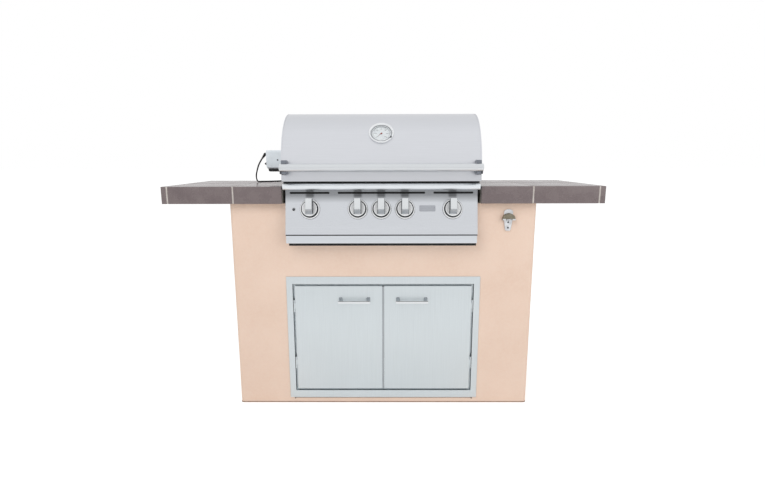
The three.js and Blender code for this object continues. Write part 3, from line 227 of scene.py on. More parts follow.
def skinned(rings, closed=False):
    """Quads between rings of points, closed from the last ring to the first, or else capped."""
    form = bmesh.new()
    rings = [[form.verts.new(point) for point in ring] for ring in rings]
    count = len(rings[0])
    for a, b in zip(rings, rings[1:] + rings[:closed]):
        for i in range(count):
            j = (i + 1) % count
            form.faces.new((a[i], a[j], b[j], b[i]))
    if not closed:
        form.faces.new(rings[0])
        form.faces.new(list(reversed(rings[-1])))
    bmesh.ops.recalc_face_normals(form, faces=form.faces)
    return form


def moved(form, place):
    form.transform(place)
    return form


def cut(form, *cutters):
    parts = []
    for name, solid in (("base", form), ("tool", merged(*cutters))):
        mesh = bpy.data.meshes.new(name)
        bmesh.ops.recalc_face_normals(solid, faces=solid.faces)
        solid.to_mesh(mesh)
        parts.append(added(name, mesh))
    modifier = parts[0].modifiers.new("cut", "BOOLEAN")
    modifier.operation, modifier.solver, modifier.object = "DIFFERENCE", "EXACT", parts[1]
    depsgraph = bpy.context.evaluated_depsgraph_get()
    made = bpy.data.meshes.new_from_object(parts[0].evaluated_get(depsgraph))
    result = bmesh.new()
    result.from_mesh(made)
    for mesh in (made, *[holder.data for holder in parts]):
        bpy.data.meshes.remove(mesh)
    return result


def piece(name, form, look, stands_for=(), body="island", sharp=32):
    """A finished piece from one form, or from a list of forms that become one mesh."""
    form = merged(*form) if isinstance(form, list) else form
    mesh = bpy.data.meshes.new(name)
    form.to_mesh(mesh)
    form.free()
    mesh.materials.append(LOOKS[look])
    mesh.polygons.foreach_set("use_smooth", [True] * len(mesh.polygons))
    mesh.set_sharp_from_angle(angle=math.radians(sharp))
    made = added(name, mesh)
    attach(made, body)
    if stands_for:
        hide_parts(*stands_for)
    return made


def paint(made, looks, choose):
    """Adds looks to a piece and gives each face the one whose number choose(face) says."""
    for look in looks:
        made.data.materials.append(LOOKS[look])
    for face in made.data.polygons:
        face.material_index = choose(face)


# Looks: node materials in object coordinates, which are the row frame's metres
def put(socket, value):
    """Links an output to the socket, or sets the socket's own value."""
    if isinstance(value, bpy.types.NodeSocket):
        socket.id_data.links.new(value, socket)
    else:
        socket.default_value = (*value, 1) if socket.type == "RGBA" else value


def add_node(tree, kind, inputs=None, **settings):
    node = tree.nodes.new("ShaderNode" + kind)
    for name, value in settings.items():
        setattr(node, name, value)
    for key, value in (inputs or {}).items():
        put(node.inputs[key], value)
    return node


class Look:
    def __init__(self, name, color, roughness, metallic=0.0):
        self.material = bpy.data.materials.new(name)
        self.material.use_nodes = True
        self.tree = self.material.node_tree
        self.shader = self.tree.nodes["Principled BSDF"]
        self.place = self.node("TexCoord").outputs["Object"]
        self.set({"Base Color": color, "Roughness": roughness, "Metallic": metallic})

    def node(self, kind, inputs=None, **settings):
        return add_node(self.tree, kind, inputs, **settings)

    def set(self, values):
        for name, value in values.items():
            put(self.shader.inputs[name], value)

    def noise(self, scale, detail=3.0, roughness=0.55, stretch=(1, 1, 1)):
        place = self.node("Mapping", {"Scale": stretch, "Vector": self.place}).outputs["Vector"]
        values = {"Scale": scale, "Detail": detail, "Roughness": roughness, "Vector": place}
        return self.node("TexNoise", values).outputs["Fac"]

    def spread(self, factor, low, high, first=0.3, last=0.7):
        values = {"Value": factor, "From Min": first, "From Max": last, "To Min": low, "To Max": high}
        return self.node("MapRange", values).outputs["Result"]

    def product(self, first, second):
        return self.node("Math", {0: first, 1: second}, operation="MULTIPLY").outputs[0]

    def blend(self, factor, first, second):
        """A mix of two colours, which are inputs 6 and 7 and output 2 of the node."""
        return self.node("Mix", {0: factor, 6: first, 7: second}, data_type="RGBA").outputs[2]

    def bump(self, *layers):
        normal = {}
        for height, strength, distance in layers:
            values = {"Height": height, "Strength": strength, "Distance": distance, **normal}
            normal = {"Normal": self.node("Bump", values).outputs["Normal"]}
        self.set(normal)


def linear(colour):
    shares = [value / 255 for value in colour]
    return tuple(s / 12.92 if s <= 0.04045 else ((s + 0.055) / 1.055) ** 2.4 for s in shares)


def shaded(colour, share):
    return tuple(min(1, c * share) for c in colour)


def varied_look(name, dark, light, roughness, metallic, scale, bump, grain, depth=0.0002):
    light = linear(light)
    look = Look(name, light, roughness, metallic)
    look.set({"Base Color": look.blend(look.spread(look.noise(scale), 0, 1), linear(dark), light)})
    least, most = roughness * 0.85, min(1, roughness * 1.15)
    look.set({"Roughness": look.spread(look.noise(scale * 3), least, most)})
    look.bump((look.noise(grain), bump, depth))
    return look.material


def brushed_look(name, tone, roughness, along, bump=0.08, metallic=1.0, painted_shades=(), painted_reflections=()):
    """Sheet metal with fine lines along one axis and faint clouds. Each painted shade band is (z0, z1, amount at
    z0, amount at z1, share of the tone), and each painted reflection (x, half width, z0, z1, share) an upright
    soft dark band."""
    color = linear(tone)
    stretch = tuple(0.012 if axis == along else 1.0 for axis in "xyz")
    look = Look(name, color, roughness, metallic)
    lines = look.noise(1400, 2.0, 0.6, stretch)
    broad = look.noise(700, 2.0, 0.5, stretch)
    cloud = look.noise(3.2, 2.0, 0.5)
    toned = look.blend(look.spread(broad, 0, 1), shaded(color, 0.965), shaded(color, 1.02))
    toned = look.blend(look.spread(cloud, 0, 0.3), toned, shaded(color, 0.93))
    parts = look.node("SeparateXYZ", {0: look.place}).outputs if painted_shades or painted_reflections else None
    # Painted shade: the tone darkens by height.
    for z0, z1, at_z0, at_z1, share in painted_shades:
        toned = look.blend(look.spread(parts["Z"], at_z0, at_z1, z0, z1), toned, shaded(color, share))
    # Painted reflections: soft upright dark bands.
    for x, half, z0, z1, share in painted_reflections:
        wide, core = half * 1.35, half * 0.8
        side = look.spread(parts["X"], 0, 1, x - wide, x - core)
        other = look.spread(parts["X"], 1, 0, x + core, x + wide)
        amount = look.product(look.product(side, other), look.spread(parts["Z"], 0, 1, z0, z1))
        toned = look.blend(amount, toned, shaded(color, share))
    look.set({"Base Color": toned, "Roughness": look.spread(lines, roughness * 0.82, roughness * 1.2)})
    look.bump((lines, bump, 0.00012), (cloud, 0.03, 0.004))
    return look.material


def stucco_look():
    pale, deep, dust = [linear(c) for c in ((240, 214, 196), (233, 205, 186), (240, 219, 203))]
    look = Look("stucco_plaster", pale, 0.95)
    cloud, fleck = look.noise(4.5, 4.0, 0.6), look.noise(90, 3.0, 0.6)
    toned = look.blend(look.spread(cloud, 0, 1), deep, pale)
    look.set({"Base Color": look.blend(look.spread(fleck, 0, 0.35), toned, dust)})
    look.set({"Roughness": look.spread(fleck, 0.88, 1.0), "Specular IOR Level": 0.25})
    look.bump((look.noise(60, 4.0, 0.65), 0.35, 0.0012), (look.noise(420, 3.0, 0.6), 0.3, 0.0005))
    return look.material


def tile_look():
    dark, mid, pale = [linear(c) for c in ((103, 90, 92), (124, 112, 112), (146, 136, 133))]
    look = Look("tile_porcelain", mid, 0.4)
    cloud, fleck = look.noise(14, 5.0, 0.65), look.noise(240, 3.0, 0.6)
    shade = look.node("Attribute", attribute_name="shade").outputs["Fac"]
    toned = look.blend(look.spread(cloud, 0, 1), dark, mid)
    flecked = look.blend(look.spread(fleck, 0, 0.4, 0.4, 0.75), toned, pale)
    look.set({"Base Color": look.blend(look.spread(shade, 0, 0.3, 0, 1), flecked, dark)})
    look.set({"Roughness": look.spread(cloud, 0.2, 0.34), "Specular IOR Level": 0.55})
    look.bump((look.noise(120, 4.0, 0.6), 0.18, 0.0006), (fleck, 0.12, 0.0003))
    return look.material


def glass_look():
    look = Look("gauge_glass", (0.97, 0.98, 0.98), 0.03)
    look.set({"Transmission Weight": 1.0, "IOR": 1.18})
    look.set({"Roughness": look.spread(look.noise(60), 0.01, 0.05)})
    return look.material


# Tone, roughness, axis of the lines, bump, metallic
BRUSHED = {
    "steel_brushed_across": ((217, 221, 226), 0.34, "x"),
    "steel_brushed_upright": ((217, 221, 226), 0.36, "z"),
    "door_steel": ((214, 221, 224), 0.4, "z", 0.05),
    "bar_metal": ((219, 222, 225), 0.33, "x", 0.04),
    # The knob looks are lit and shaded copies of one steel: the dark flank look and the grey shade look are
    # painted shade, the near-white disc and ring looks painted light.
    "knob_metal": ((222, 225, 227), 0.2, "z", 0.05),
    "knob_flank": ((84, 88, 92), 0.35, "z", 0.05),
    "knob_disc": ((251, 252, 253), 0.45, "z", 0.05, 0.45),
    "knob_ring": ((251, 252, 253), 0.35, "x", 0.03, 0.25),
    "bezel_ring": ((236, 238, 240), 0.22, "x", 0.03),
    "bracket_metal": ((128, 132, 140), 0.35, "x", 0.06),
    "firebox_steel": ((118, 117, 116), 0.5, "x", 0.1),
    # A darker copy of the steel: painted shade on the door pulls' posts, in the gauge's groove and on the door
    # seal.
    "post_metal": ((176, 180, 184), 0.3, "z", 0.05),
    "knob_shade": ((184, 188, 192), 0.3, "z", 0.05),
    # A paler copy of the steel: painted light on the front shelf.
    "shelf_metal": ((236, 240, 244), 0.46, "x", 0.04),
    "badge_metal": ((172, 175, 181), 0.3, "x", 0.06),
}
# Dark tone, light tone, roughness, metallic, scale of the clouds, bump, scale of the grain, its depth
VARIED = {
    "grout": ((186, 179, 173), (208, 201, 195), 0.95, 0, 60, 0.4, 500, 0.0005),
    "chrome_plate": ((215, 217, 219), (228, 230, 232), 0.12, 1, 25, 0.02, 200),
    "dark_metal": ((88, 90, 92), (112, 114, 117), 0.45, 1, 40, 0.08, 600),
    "grate_metal": ((128, 130, 131), (160, 162, 163), 0.42, 1, 35, 0.12, 500),
    "cast_metal": ((202, 203, 206), (228, 229, 231), 0.34, 1, 70, 0.22, 420, 0.0003),
    "black_plastic": ((22, 22, 24), (34, 34, 36), 0.5, 0, 60, 0.15, 900),
    "cord_rubber": ((13, 13, 15), (24, 24, 27), 0.65, 0, 50, 0.15, 800),
    "needle_paint": ((120, 30, 26), (138, 40, 34), 0.45, 0, 80, 0.05, 900),
    "stud_metal": ((140, 144, 147), (168, 172, 175), 0.5, 1, 25, 0.1, 300),
    "backer_board": ((162, 157, 149), (186, 181, 172), 0.95, 0, 20, 0.4, 250, 0.0005),
    "motor_paint": ((224, 231, 236), (233, 240, 245), 0.35, 0.3, 30, 0.05, 500),
    "dial_enamel": ((222, 225, 228), (231, 233, 235), 0.35, 0, 40, 0.03, 700),
    "dial_ink": ((58, 60, 64), (74, 76, 80), 0.5, 0, 60, 0.03, 900),
    "screw_metal": ((74, 76, 80), (98, 100, 104), 0.35, 1, 60, 0.06, 700),
    # The screed is real metal, but its dark brownish tone is painted shade, the contact shadow at the base.
    "screed_metal": ((150, 128, 114), (172, 148, 132), 0.8, 0, 60, 0.1, 400),
    # The bead's dark brownish tone is partly its own, partly painted shade under the door flange.
    "bead": ((158, 136, 122), (172, 150, 136), 0.7, 0, 60, 0.1, 400),
    "shim": ((96, 82, 74), (116, 100, 90), 0.8, 0, 60, 0.1, 400),
    # A darker copy of the cast metal: painted shade on the opener's visor.
    "cast_recess": ((120, 113, 96), (152, 145, 128), 0.6, 0.6, 90, 0.25, 420, 0.0004),
    "ceramic_plaque": ((196, 180, 158), (214, 200, 180), 0.9, 0, 70, 0.3, 500, 0.0004),
    # Near black: painted shade in gaps, slots, burner ports and under the hood's lip.
    "dark_gap": ((26, 26, 27), (36, 36, 37), 0.8, 0, 40, 0.1, 300),
}
LOOKS = {}
# The record's slots whose look has another name. The other slots' looks have theirs.
SLOT_LOOKS = {
    "stucco": "stucco_plaster",
    "tile": "tile_porcelain",
    "stainless": "steel_brushed_across",
    "motor_shell": "steel_brushed_across",
    "chromed": "chrome_plate",
}


def make_looks():
    bar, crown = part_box("hood_handle")[0].z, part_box("hood_shell")[1].z
    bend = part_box("control_panel")[1].z - STRIP_HEIGHT
    pull_low, pull_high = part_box("door_handle_left")
    shade = (pull_high.z - pull_low.z) * 0.3
    # Painted shade: the hood darker in a band under its handle and towards its crown, the panel darker under the
    # shelf.
    hood_painted_shade = [(bar - 0.018, bar + 0.008, 1, 0, 0.91), (crown - 0.085, crown - 0.01, 0, 1, 0.86)]
    panel_painted_shade = [(bend - 0.135, bend - 0.115, 0, 1, 0.965), (bend - 0.034, bend - 0.002, 0, 1, 0.44)]
    # Painted reflections: a soft dark band on the panel above each knob.
    painted_reflections = [(pivot(f"{name}_turn").x, 0.0155, bend - 0.016, bend - 0.006, 0.2) for name in KNOB_NAMES]
    # Painted shade along the top of the door pulls and along the underside of the hood bar.
    pull_painted_shade = (pull_high.z - shade, pull_high.z - shade * 0.3, 0, 1, 0.5)
    bar_painted_shade = (bar + 0.0002, bar + 0.0016, 1, 0, 0.36)
    rows = {
        **BRUSHED,
        "hood_steel": ((217, 219, 224), 0.34, "x", 0.08, 1.0, hood_painted_shade),
        "panel_steel": ((213, 216, 221), 0.32, "x", 0.08, 1.0, panel_painted_shade, painted_reflections),
        # The door pulls' steel is also a paler copy of the steel: painted light.
        "pull_metal": ((236, 239, 241), 0.3, "x", 0.03, 1.0, [pull_painted_shade]),
        "hood_bar_metal": ((217, 220, 223), 0.33, "x", 0.04, 1.0, [bar_painted_shade]),
    }
    for make, table in ((brushed_look, rows), (varied_look, VARIED)):
        for name, row in table.items():
            LOOKS[name] = make(name, *row)
    for material in (stucco_look(), tile_look(), glass_look()):
        LOOKS[material.name] = material


def dress_nodes():
    for row in frame["record"]["subparts"]:
        slot = row["material_slot"]
        look = "firebox_steel" if row["node"] == "firebox" else SLOT_LOOKS.get(slot, slot)
        materials = nodes[row["node"]].data.materials
        materials.clear()
        materials.append(LOOKS[look])


# Cord: the route's points are those of the CAD source, with X from the motor's outer side and Z
# from the counter's top
CORD_DIAMETER = 0.0065
CORD_REST = CORD_DIAMETER / 2 + SEAT
HANGING_ROUTE = [
    (-0.0205, 0.2075, 0.1163), (-0.0257, 0.2124, 0.1108), (-0.046, 0.24, 0.087), (-0.06, 0.268, 0.066),
    (-0.079, 0.32, 0.035), (-0.0875, 0.365, 0.015), (-0.089, 0.392, 0.0065),
]
LYING_ROUTE = [
    (-0.0855, 0.412), (-0.075, 0.428), (-0.061, 0.441), (-0.045, 0.453), (-0.026, 0.466), (-0.01, 0.481),
    (-0.001, 0.503), (0.0014, 0.527), (0.0017, 0.545),
]
PLUG_ROUTE = [
    (0.0935, 0.545, 0.0112), (0.0885, 0.533, 0.0103), (0.083, 0.524, 0.0099), (0.0795, 0.5175, 0.0098),
]
PLUG_PLACE, PLUG_DROP = (0.078, 0.512), 0.0095
COIL_PLACE, COIL_RADIUS, COIL_PITCH, COIL_STEPS = (0.049, 0.566), 0.0383, 0.00715, 24
COIL_LAYER_TURNS, COIL_CLIMB_TURNS = 2.5, 0.5


def route_point(x, y, z=CORD_REST):
    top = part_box("counter_tiles")[1].z
    return Vector((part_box("motor_housing")[0].x + x, WALL_FACE + y, top + z))


def coil_points():
    turns = COIL_LAYER_TURNS * 2 + COIL_CLIMB_TURNS
    inner = COIL_RADIUS - COIL_PITCH * COIL_LAYER_TURNS / 2
    steps = round(turns * COIL_STEPS)
    points = []
    for step in range(steps + 1):
        turn = step / steps * turns
        angle = math.pi - turn * TURN
        radius = inner + (abs(turn - turns / 2) - COIL_CLIMB_TURNS / 2) * COIL_PITCH
        climb = min(1, max(0, (turn - COIL_LAYER_TURNS) / COIL_CLIMB_TURNS))
        lift = COIL_PITCH * climb * climb * (3 - 2 * climb)
        place = (COIL_PLACE[0] + radius * math.cos(angle), COIL_PLACE[1] + radius * math.sin(angle))
        points.append(route_point(*place, CORD_REST + lift))
    return points


def smooth_path(points, per_span):
    """Centripetal Catmull-Rom through all points."""
    closed = [points[0] * 2 - points[1], *points, points[-1] * 2 - points[-2]]
    path = []
    for a, b, c, d in zip(closed, closed[1:], closed[2:], closed[3:]):
        gaps = [max(1e-5, (q - p).length) ** 0.5 for p, q in ((a, b), (b, c), (c, d))]
        t1 = (b - a) / gaps[0] - (c - a) / (gaps[0] + gaps[1]) + (c - b) / gaps[1]
        t2 = (c - b) / gaps[1] - (d - b) / (gaps[1] + gaps[2]) + (d - c) / gaps[2]
        t1, t2 = t1 * gaps[1], t2 * gaps[1]
        c2, c3 = (c - b) * 3 - t1 * 2 - t2, (b - c) * 2 + t1 + t2
        for step in range(per_span):
            t = step / per_span
            path.append(b + t1 * t + c2 * t * t + c3 * t * t * t)
    return [*path, points[-1]]


def cord_curve(points):
    data = bpy.data.curves.new("motor_cord", "CURVE")
    data.dimensions = "3D"
    data.bevel_depth, data.bevel_resolution, data.use_fill_caps = CORD_DIAMETER / 2, 6, True
    spline = data.splines.new("POLY")
    spline.points.add(len(points) - 1)
    for target, point in zip(spline.points, points):
        target.co = (*point, 1)
    spline.use_smooth = True
    data.materials.append(LOOKS["cord_rubber"])
    made = added("motor_cord", data)
    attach(made, "island")
    return made


def make_cord():
    straight = Vector((0, CORD_DIAMETER, 0))
    coil = coil_points()
    lead = [route_point(*p) for p in [*HANGING_ROUTE, *LYING_ROUTE]]
    tail = [route_point(*p) for p in PLUG_ROUTE]
    start = route_point(*PLUG_PLACE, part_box("plug")[1].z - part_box("counter_tiles")[1].z - PLUG_DROP)
    path = smooth_path([*lead, coil[0] - straight, *coil, coil[-1] - straight, *tail, start], 5)
    cord = cord_curve(path)
    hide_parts("cord_lead", "cord_coil", "cord_tail")
    length = sum((b - a).length for a, b in zip(path, path[1:]))
    cord_gland(path[0])
    plug = make_plug(start, tail[-1])
    tie = make_tie()
    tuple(path[0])


def make_plug(start, before):
    """The moulded plug: a ribbed relief, the body, two blades and the round ground pin."""
    heading = start - before
    heading.z = 0
    place = frame_at(start, heading)
    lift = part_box("plug")[1].z - start.z
    relief, body, blade, half, foot = 0.022, 0.034, 0.017, 0.0125, 0.0004
    block = rounded_outline(-half, half, -lift, lift, 0.004)
    forms = [prism_form(block, relief, relief + body, within(place), 0.0018, 3)]
    ribs, steps, sink = [(0, foot)], 5, 0.0008
    for i in range(steps):
        for t, drop in ((0, 0), (0.65, 0), (0.7, sink), (1, sink)):
            share = (i + t) / steps
            ribs.append((0.005 + (lift - 0.0065) * share - drop, foot + relief * share))
    forms.append(lathe_form([*ribs, (0, relief + 0.001)], place, 40))
    root = relief + body - 0.001
    spread, thick, high = 0.00635, 0.0008, 0.0032
    for x in (-spread, spread):
        pin = box_form((x - thick, -high, root), (x + thick, high, relief + body + blade), 0.0003)
        forms.append(moved(pin, place))
    ground = place @ Vector((0, -0.0054, root))
    forms.append(rod_form(ground, ground + heading.normalized() * (blade + 0.001), 0.0024, 32))
    return piece("cord_plug", forms, "black_plastic", ["plug"])


def make_tie():
    """A thin strap round the coil's turns."""
    sheet, under, half, gap = 0.0008, 0.00022, 0.006, 0.0001
    reach = COIL_PITCH * COIL_LAYER_TURNS / 2 + CORD_DIAMETER * 0.62
    middle = route_point(*COIL_PLACE) + Vector((COIL_RADIUS, 0, COIL_PITCH / 2))
    rise = COIL_PITCH / 2 + CORD_DIAMETER / 2
    outer = rounded_outline(-reach - sheet, reach + sheet, -rise - under, rise + sheet, 0.003)
    inner = rounded_outline(-reach, reach, -rise + gap, rise, 0.0026)
    loops = ((outer, -half), (outer, half), (inner, half), (inner, -half))
    form = skinned([[middle + Vector((u, w, v)) for u, v in outline] for outline, w in loops], True)
    return piece("coil_tie", form, "black_plastic")


# Cabinet: one stuccoed shell round the frame, with the door hole and the grill's notch
WALLS = ["front_wall", "back_wall", "left_wall", "right_wall"]
WALL_CORNER, WALL_STEP, STUCCO_DEPTH = 0.013, 0.015, 0.0008
DOOR_HOLE_SIDE, DOOR_HOLE_END = 0.020, 0.0265
NOTCH_SIDE, NOTCH_DROP = 0.011, 0.018
SCREED_HEIGHT, SCREED_PROUD, SCREED_DEPTH = 0.005, 0.0006, 0.012


def steps_between(marks, step):
    out = []
    for a, b in zip(marks, marks[1:]):
        count = max(1, math.ceil((b - a) / step - TINY))
        out.extend(a + (b - a) * i / count for i in range(count))
    return [*out, marks[-1]]


def stucco_shell():
    low, high = box_of(*WALLS)
    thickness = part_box("front_wall")[1].y - low.y
    (hx0, _, hz0), (hx1, _, hz1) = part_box("door_surround")
    tray_low, tray_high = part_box("drip_tray")
    hole = (hx0 + DOOR_HOLE_SIDE, hx1 - DOOR_HOLE_SIDE, hz0 + DOOR_HOLE_END, hz1 - DOOR_HOLE_END)
    notch = (tray_low.x + NOTCH_SIDE, tray_high.x - NOTCH_SIDE, tray_low.z - NOTCH_DROP, high.z)
    r = WALL_CORNER
    x0, x1, y0, y1 = low.x + r, high.x - r, low.y + r, high.y - r
    heights = steps_between(sorted({low.z, *hole[2:], *notch[2:], high.z}), WALL_STEP)
    side_y = steps_between([y0, y1], WALL_STEP)

    def corner(x, y, first):
        return [(x + r * c, y + r * s, c, s) for c, s in arc(0, 0, 1, 1, first, 0.25, 5)[1:5]]

    ring = [(x, low.y, 0, -1) for x in steps_between(sorted({x0, *hole[:2], *notch[:2], x1}), WALL_STEP)]
    ring += corner(x1, y0, 0.75) + [(high.x, y, 1, 0) for y in side_y] + corner(x1, y1, 0)
    ring += [(x, high.y, 0, 1) for x in reversed(steps_between([x0, x1], WALL_STEP))]
    ring += corner(x0, y1, 0.25) + [(low.x, y, -1, 0) for y in reversed(side_y)] + corner(x0, y0, 0.5)

    form = bmesh.new()
    outer, inner = [], []
    for x, y, nx, ny in ring:
        in_x = min(high.x - thickness, max(low.x + thickness, x))
        in_y = min(high.y - thickness, max(low.y + thickness, y))
        outer.append([])
        inner.append([])
        for z in heights:
            rough = noise.fractal(Vector((x * 9, y * 9, z * 9)), 0.8, 2.0, 4)
            sink = STUCCO_DEPTH * min(1, max(0, 0.5 + rough * 0.5))
            outer[-1].append(form.verts.new((x - nx * sink, y - ny * sink, z)))
            inner[-1].append(form.verts.new((in_x, in_y, z)))
    twin = {a: b for outs, ins in zip(outer, inner) for a, b in zip(outs, ins)}
    for i in range(len(ring)):
        j = (i + 1) % len(ring)
        middle, on_front = (ring[i][0] + ring[j][0]) / 2, max(ring[i][1], ring[j][1]) <= low.y + TINY
        for k in range(len(heights) - 1):
            z = (heights[k] + heights[k + 1]) / 2
            if on_front and any(a < middle < b and c < z < d for a, b, c, d in (hole, notch)):
                continue
            form.faces.new((outer[i][k], outer[j][k], outer[j][k + 1], outer[i][k + 1]))
            form.faces.new((inner[i][k], inner[i][k + 1], inner[j][k + 1], inner[j][k]))
    for edge in [e for e in form.edges if e.is_boundary and e.verts[0] in twin and e.verts[1] in twin]:
        a, b = edge.verts
        form.faces.new((a, b, twin[b], twin[a]))
    bmesh.ops.delete(form, geom=[v for v in form.verts if not v.link_faces], context="VERTS")
    bmesh.ops.remove_doubles(form, verts=form.verts, dist=TINY)
    bmesh.ops.dissolve_degenerate(form, edges=form.edges, dist=TINY)
    bmesh.ops.recalc_face_normals(form, faces=form.faces)
    piece("stucco_shell", form, "stucco_plaster", WALLS, sharp=40)


def base_screed():
    """The thin metal edge on which the stucco ends above the ground. Its dark brownish tone is painted shade, the
    contact shadow along the base.
    """
    low, high = box_of(*WALLS)
    rims = []
    for out, round_ in ((SCREED_PROUD, WALL_CORNER), (-SCREED_DEPTH, WALL_CORNER * 0.4)):
        rims.append(rounded_outline(low.x - out, high.x + out, low.y - out, high.y + out, round_))
    loops = ((rims[0], 0), (rims[0], SCREED_HEIGHT), (rims[1], SCREED_HEIGHT), (rims[1], 0))
    form = skinned([[(x, y, z) for x, y in rim] for rim, z in loops], True)
    piece("base_screed", form, "screed_metal")


# Counter: single tiles with eased edges on a grout bed
TILE_PITCH, TILE_EASE = 0.310, 0.0013
GROUT_WIDTH, GROUT_SINK, GROUT_INSET = 0.005, 0.0007, 0.001
EDGE_TILE, CORNER_TILE = 0.010, 0.024
NOTCH_REACH = 0.4617
SHADE_WAVE, SHADE_SCALE = 12.9898, 43758.5453  # a repeatable spread of values from 0 to 1


def tiles_piece(name, forms, stands_for):
    """One mesh of tiles, each with its own value of the attribute that darkens it."""
    for index, form in enumerate(forms, len(name)):
        layer = form.verts.layers.float.new("shade")
        for vertex in form.verts:
            vertex[layer] = math.sin(index * SHADE_WAVE) * SHADE_SCALE % 1
    piece(name, forms, "tile_porcelain", [stands_for], sharp=40)


def tile_spans(start, end, marks=()):
    """The start and end of each tile in a run, with a grout line at each mark."""
    gap = GROUT_WIDTH / 2
    stops = [start - gap, *[m for m in marks if start < m < end], end + gap]
    return [(a + gap, b - gap) for a, b in zip(stops, stops[1:])]


def top_outline(x0, x1, y0, y1, n0, n1, back):
    """A cell's outline less the grill's notch, or None where nothing is left."""
    if y0 >= back or x1 <= n0 or x0 >= n1:
        return [(x0, y0), (x1, y0), (x1, y1), (x0, y1)]
    if x0 >= n0 and x1 <= n1:
        return None if y1 <= back else [(x0, back), (x1, back), (x1, y1), (x0, y1)]
    if y1 <= back:
        x0, x1 = (x0, n0) if x0 < n0 else (n1, x1)
        return [(x0, y0), (x1, y0), (x1, y1), (x0, y1)]
    if x0 < n0:
        return [(x0, y0), (n0, y0), (n0, back), (x1, back), (x1, y1), (x0, y1)]
    return [(x0, back), (n1, back), (n1, y0), (x1, y0), (x1, y1), (x0, y1)]


def counter():
    low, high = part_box("counter_tiles")
    edge_low, edge_high = box_of("edge_tiles_front_left", "edge_tiles_front_right", "edge_tiles_rear")
    n0, n1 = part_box("edge_tiles_front_left")[1].x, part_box("edge_tiles_front_right")[0].x
    back = low.y + NOTCH_REACH
    marks_x = [i * TILE_PITCH for i in range(-3, 4)]
    marks_y = [edge_low.y + TILE_PITCH, edge_low.y + TILE_PITCH * 2]
    tiles = []
    for x_span in tile_spans(low.x, high.x, marks_x):
        for y_span in tile_spans(low.y, high.y, marks_y):
            outline = top_outline(*x_span, *y_span, n0, n1, back)
            if outline:
                form = prism_form(outline, low.z, high.z, upright)
                top = [e for e in form.edges if all(v.co.z > high.z - TINY for v in e.verts)]
                ease(form, top, TILE_EASE, 3, clamp=False)
                tiles.append(form)
    tiles_piece("counter_top_tiles", tiles, "counter_tiles")

    bed = [(low.x, low.y), (n0, low.y), (n0, back), (n1, back), (n1, low.y), (high.x, low.y)]
    bed += [(high.x, high.y), (low.x, high.y)]
    grout = [prism_form(bed, low.z + SEAT, high.z - GROUT_SINK, upright)]
    z0, z1, y0, y1 = edge_low.z, edge_high.z, edge_low.y, edge_high.y
    g0, g1 = z0 + GROUT_INSET, z1 - GROUT_SINK
    corner = edge_high.x - CORNER_TILE

    def row(x0, x1, ya, yb):
        spans = tile_spans(x0, x1, [-corner, *marks_x, corner])
        return [box_form((a, ya, z0), (b, yb, z1), TILE_EASE * 1.4, 3) for a, b in spans]

    for side, x0, x1 in (("left", edge_low.x, n0), ("right", n1, edge_high.x)):
        tiles_piece(f"front_edge_tiles_{side}", row(x0, x1, y0, y0 + EDGE_TILE), f"edge_tiles_front_{side}")
        ends = (x0 + GROUT_INSET, x1 - GROUT_INSET)
        grout.append(box_form((ends[0], y0 + GROUT_SINK, g0), (ends[1], y0 + EDGE_TILE, g1), 0.0003))
    rear = row(edge_low.x, edge_high.x, y1 - EDGE_TILE, y1)
    ends = (edge_low.x + GROUT_INSET, edge_high.x - GROUT_INSET)
    grout.append(box_form((ends[0], y1 - EDGE_TILE, g0), (ends[1], y1 - GROUT_SINK, g1), 0.0003))
    start, end = y0 + EDGE_TILE + SEAT, y1 - EDGE_TILE - SEAT
    for sign in (-1, 1):
        outer = sign * edge_high.x
        inner = outer - sign * EDGE_TILE
        x0, x1 = sorted((outer, inner))
        for a, b in tile_spans(start, end, marks_y):
            rear.append(box_form((x0, a, z0), (x1, b, z1), TILE_EASE * 1.4, 3))
        x0, x1 = sorted((outer - sign * GROUT_SINK, inner))
        grout.append(box_form((x0, start, g0), (x1, end, g1), 0.0003))
    tiles_piece("rear_edge_tiles", rear, "edge_tiles_rear")
    piece("counter_grout", grout, "grout")


# Access doors
FLANGE_SIDE, FLANGE_END = 0.0275, 0.034
SLEEVE, SLEEVE_DEPTH = 0.0055, 0.046
STOP, STOP_PLACE = 0.012, (0.0173, 0.0198)
DOOR_FACE = WALL_FACE - 0.003
DOOR_SHEET, DOOR_DEPTH, DOOR_EDGE = 0.0015, 0.020, 0.384
BARREL_RADIUS, PIN_RADIUS, KNUCKLE = 0.0033, 0.0015, 0.054
KNUCKLE_HEIGHTS = (0.453, 0.192)


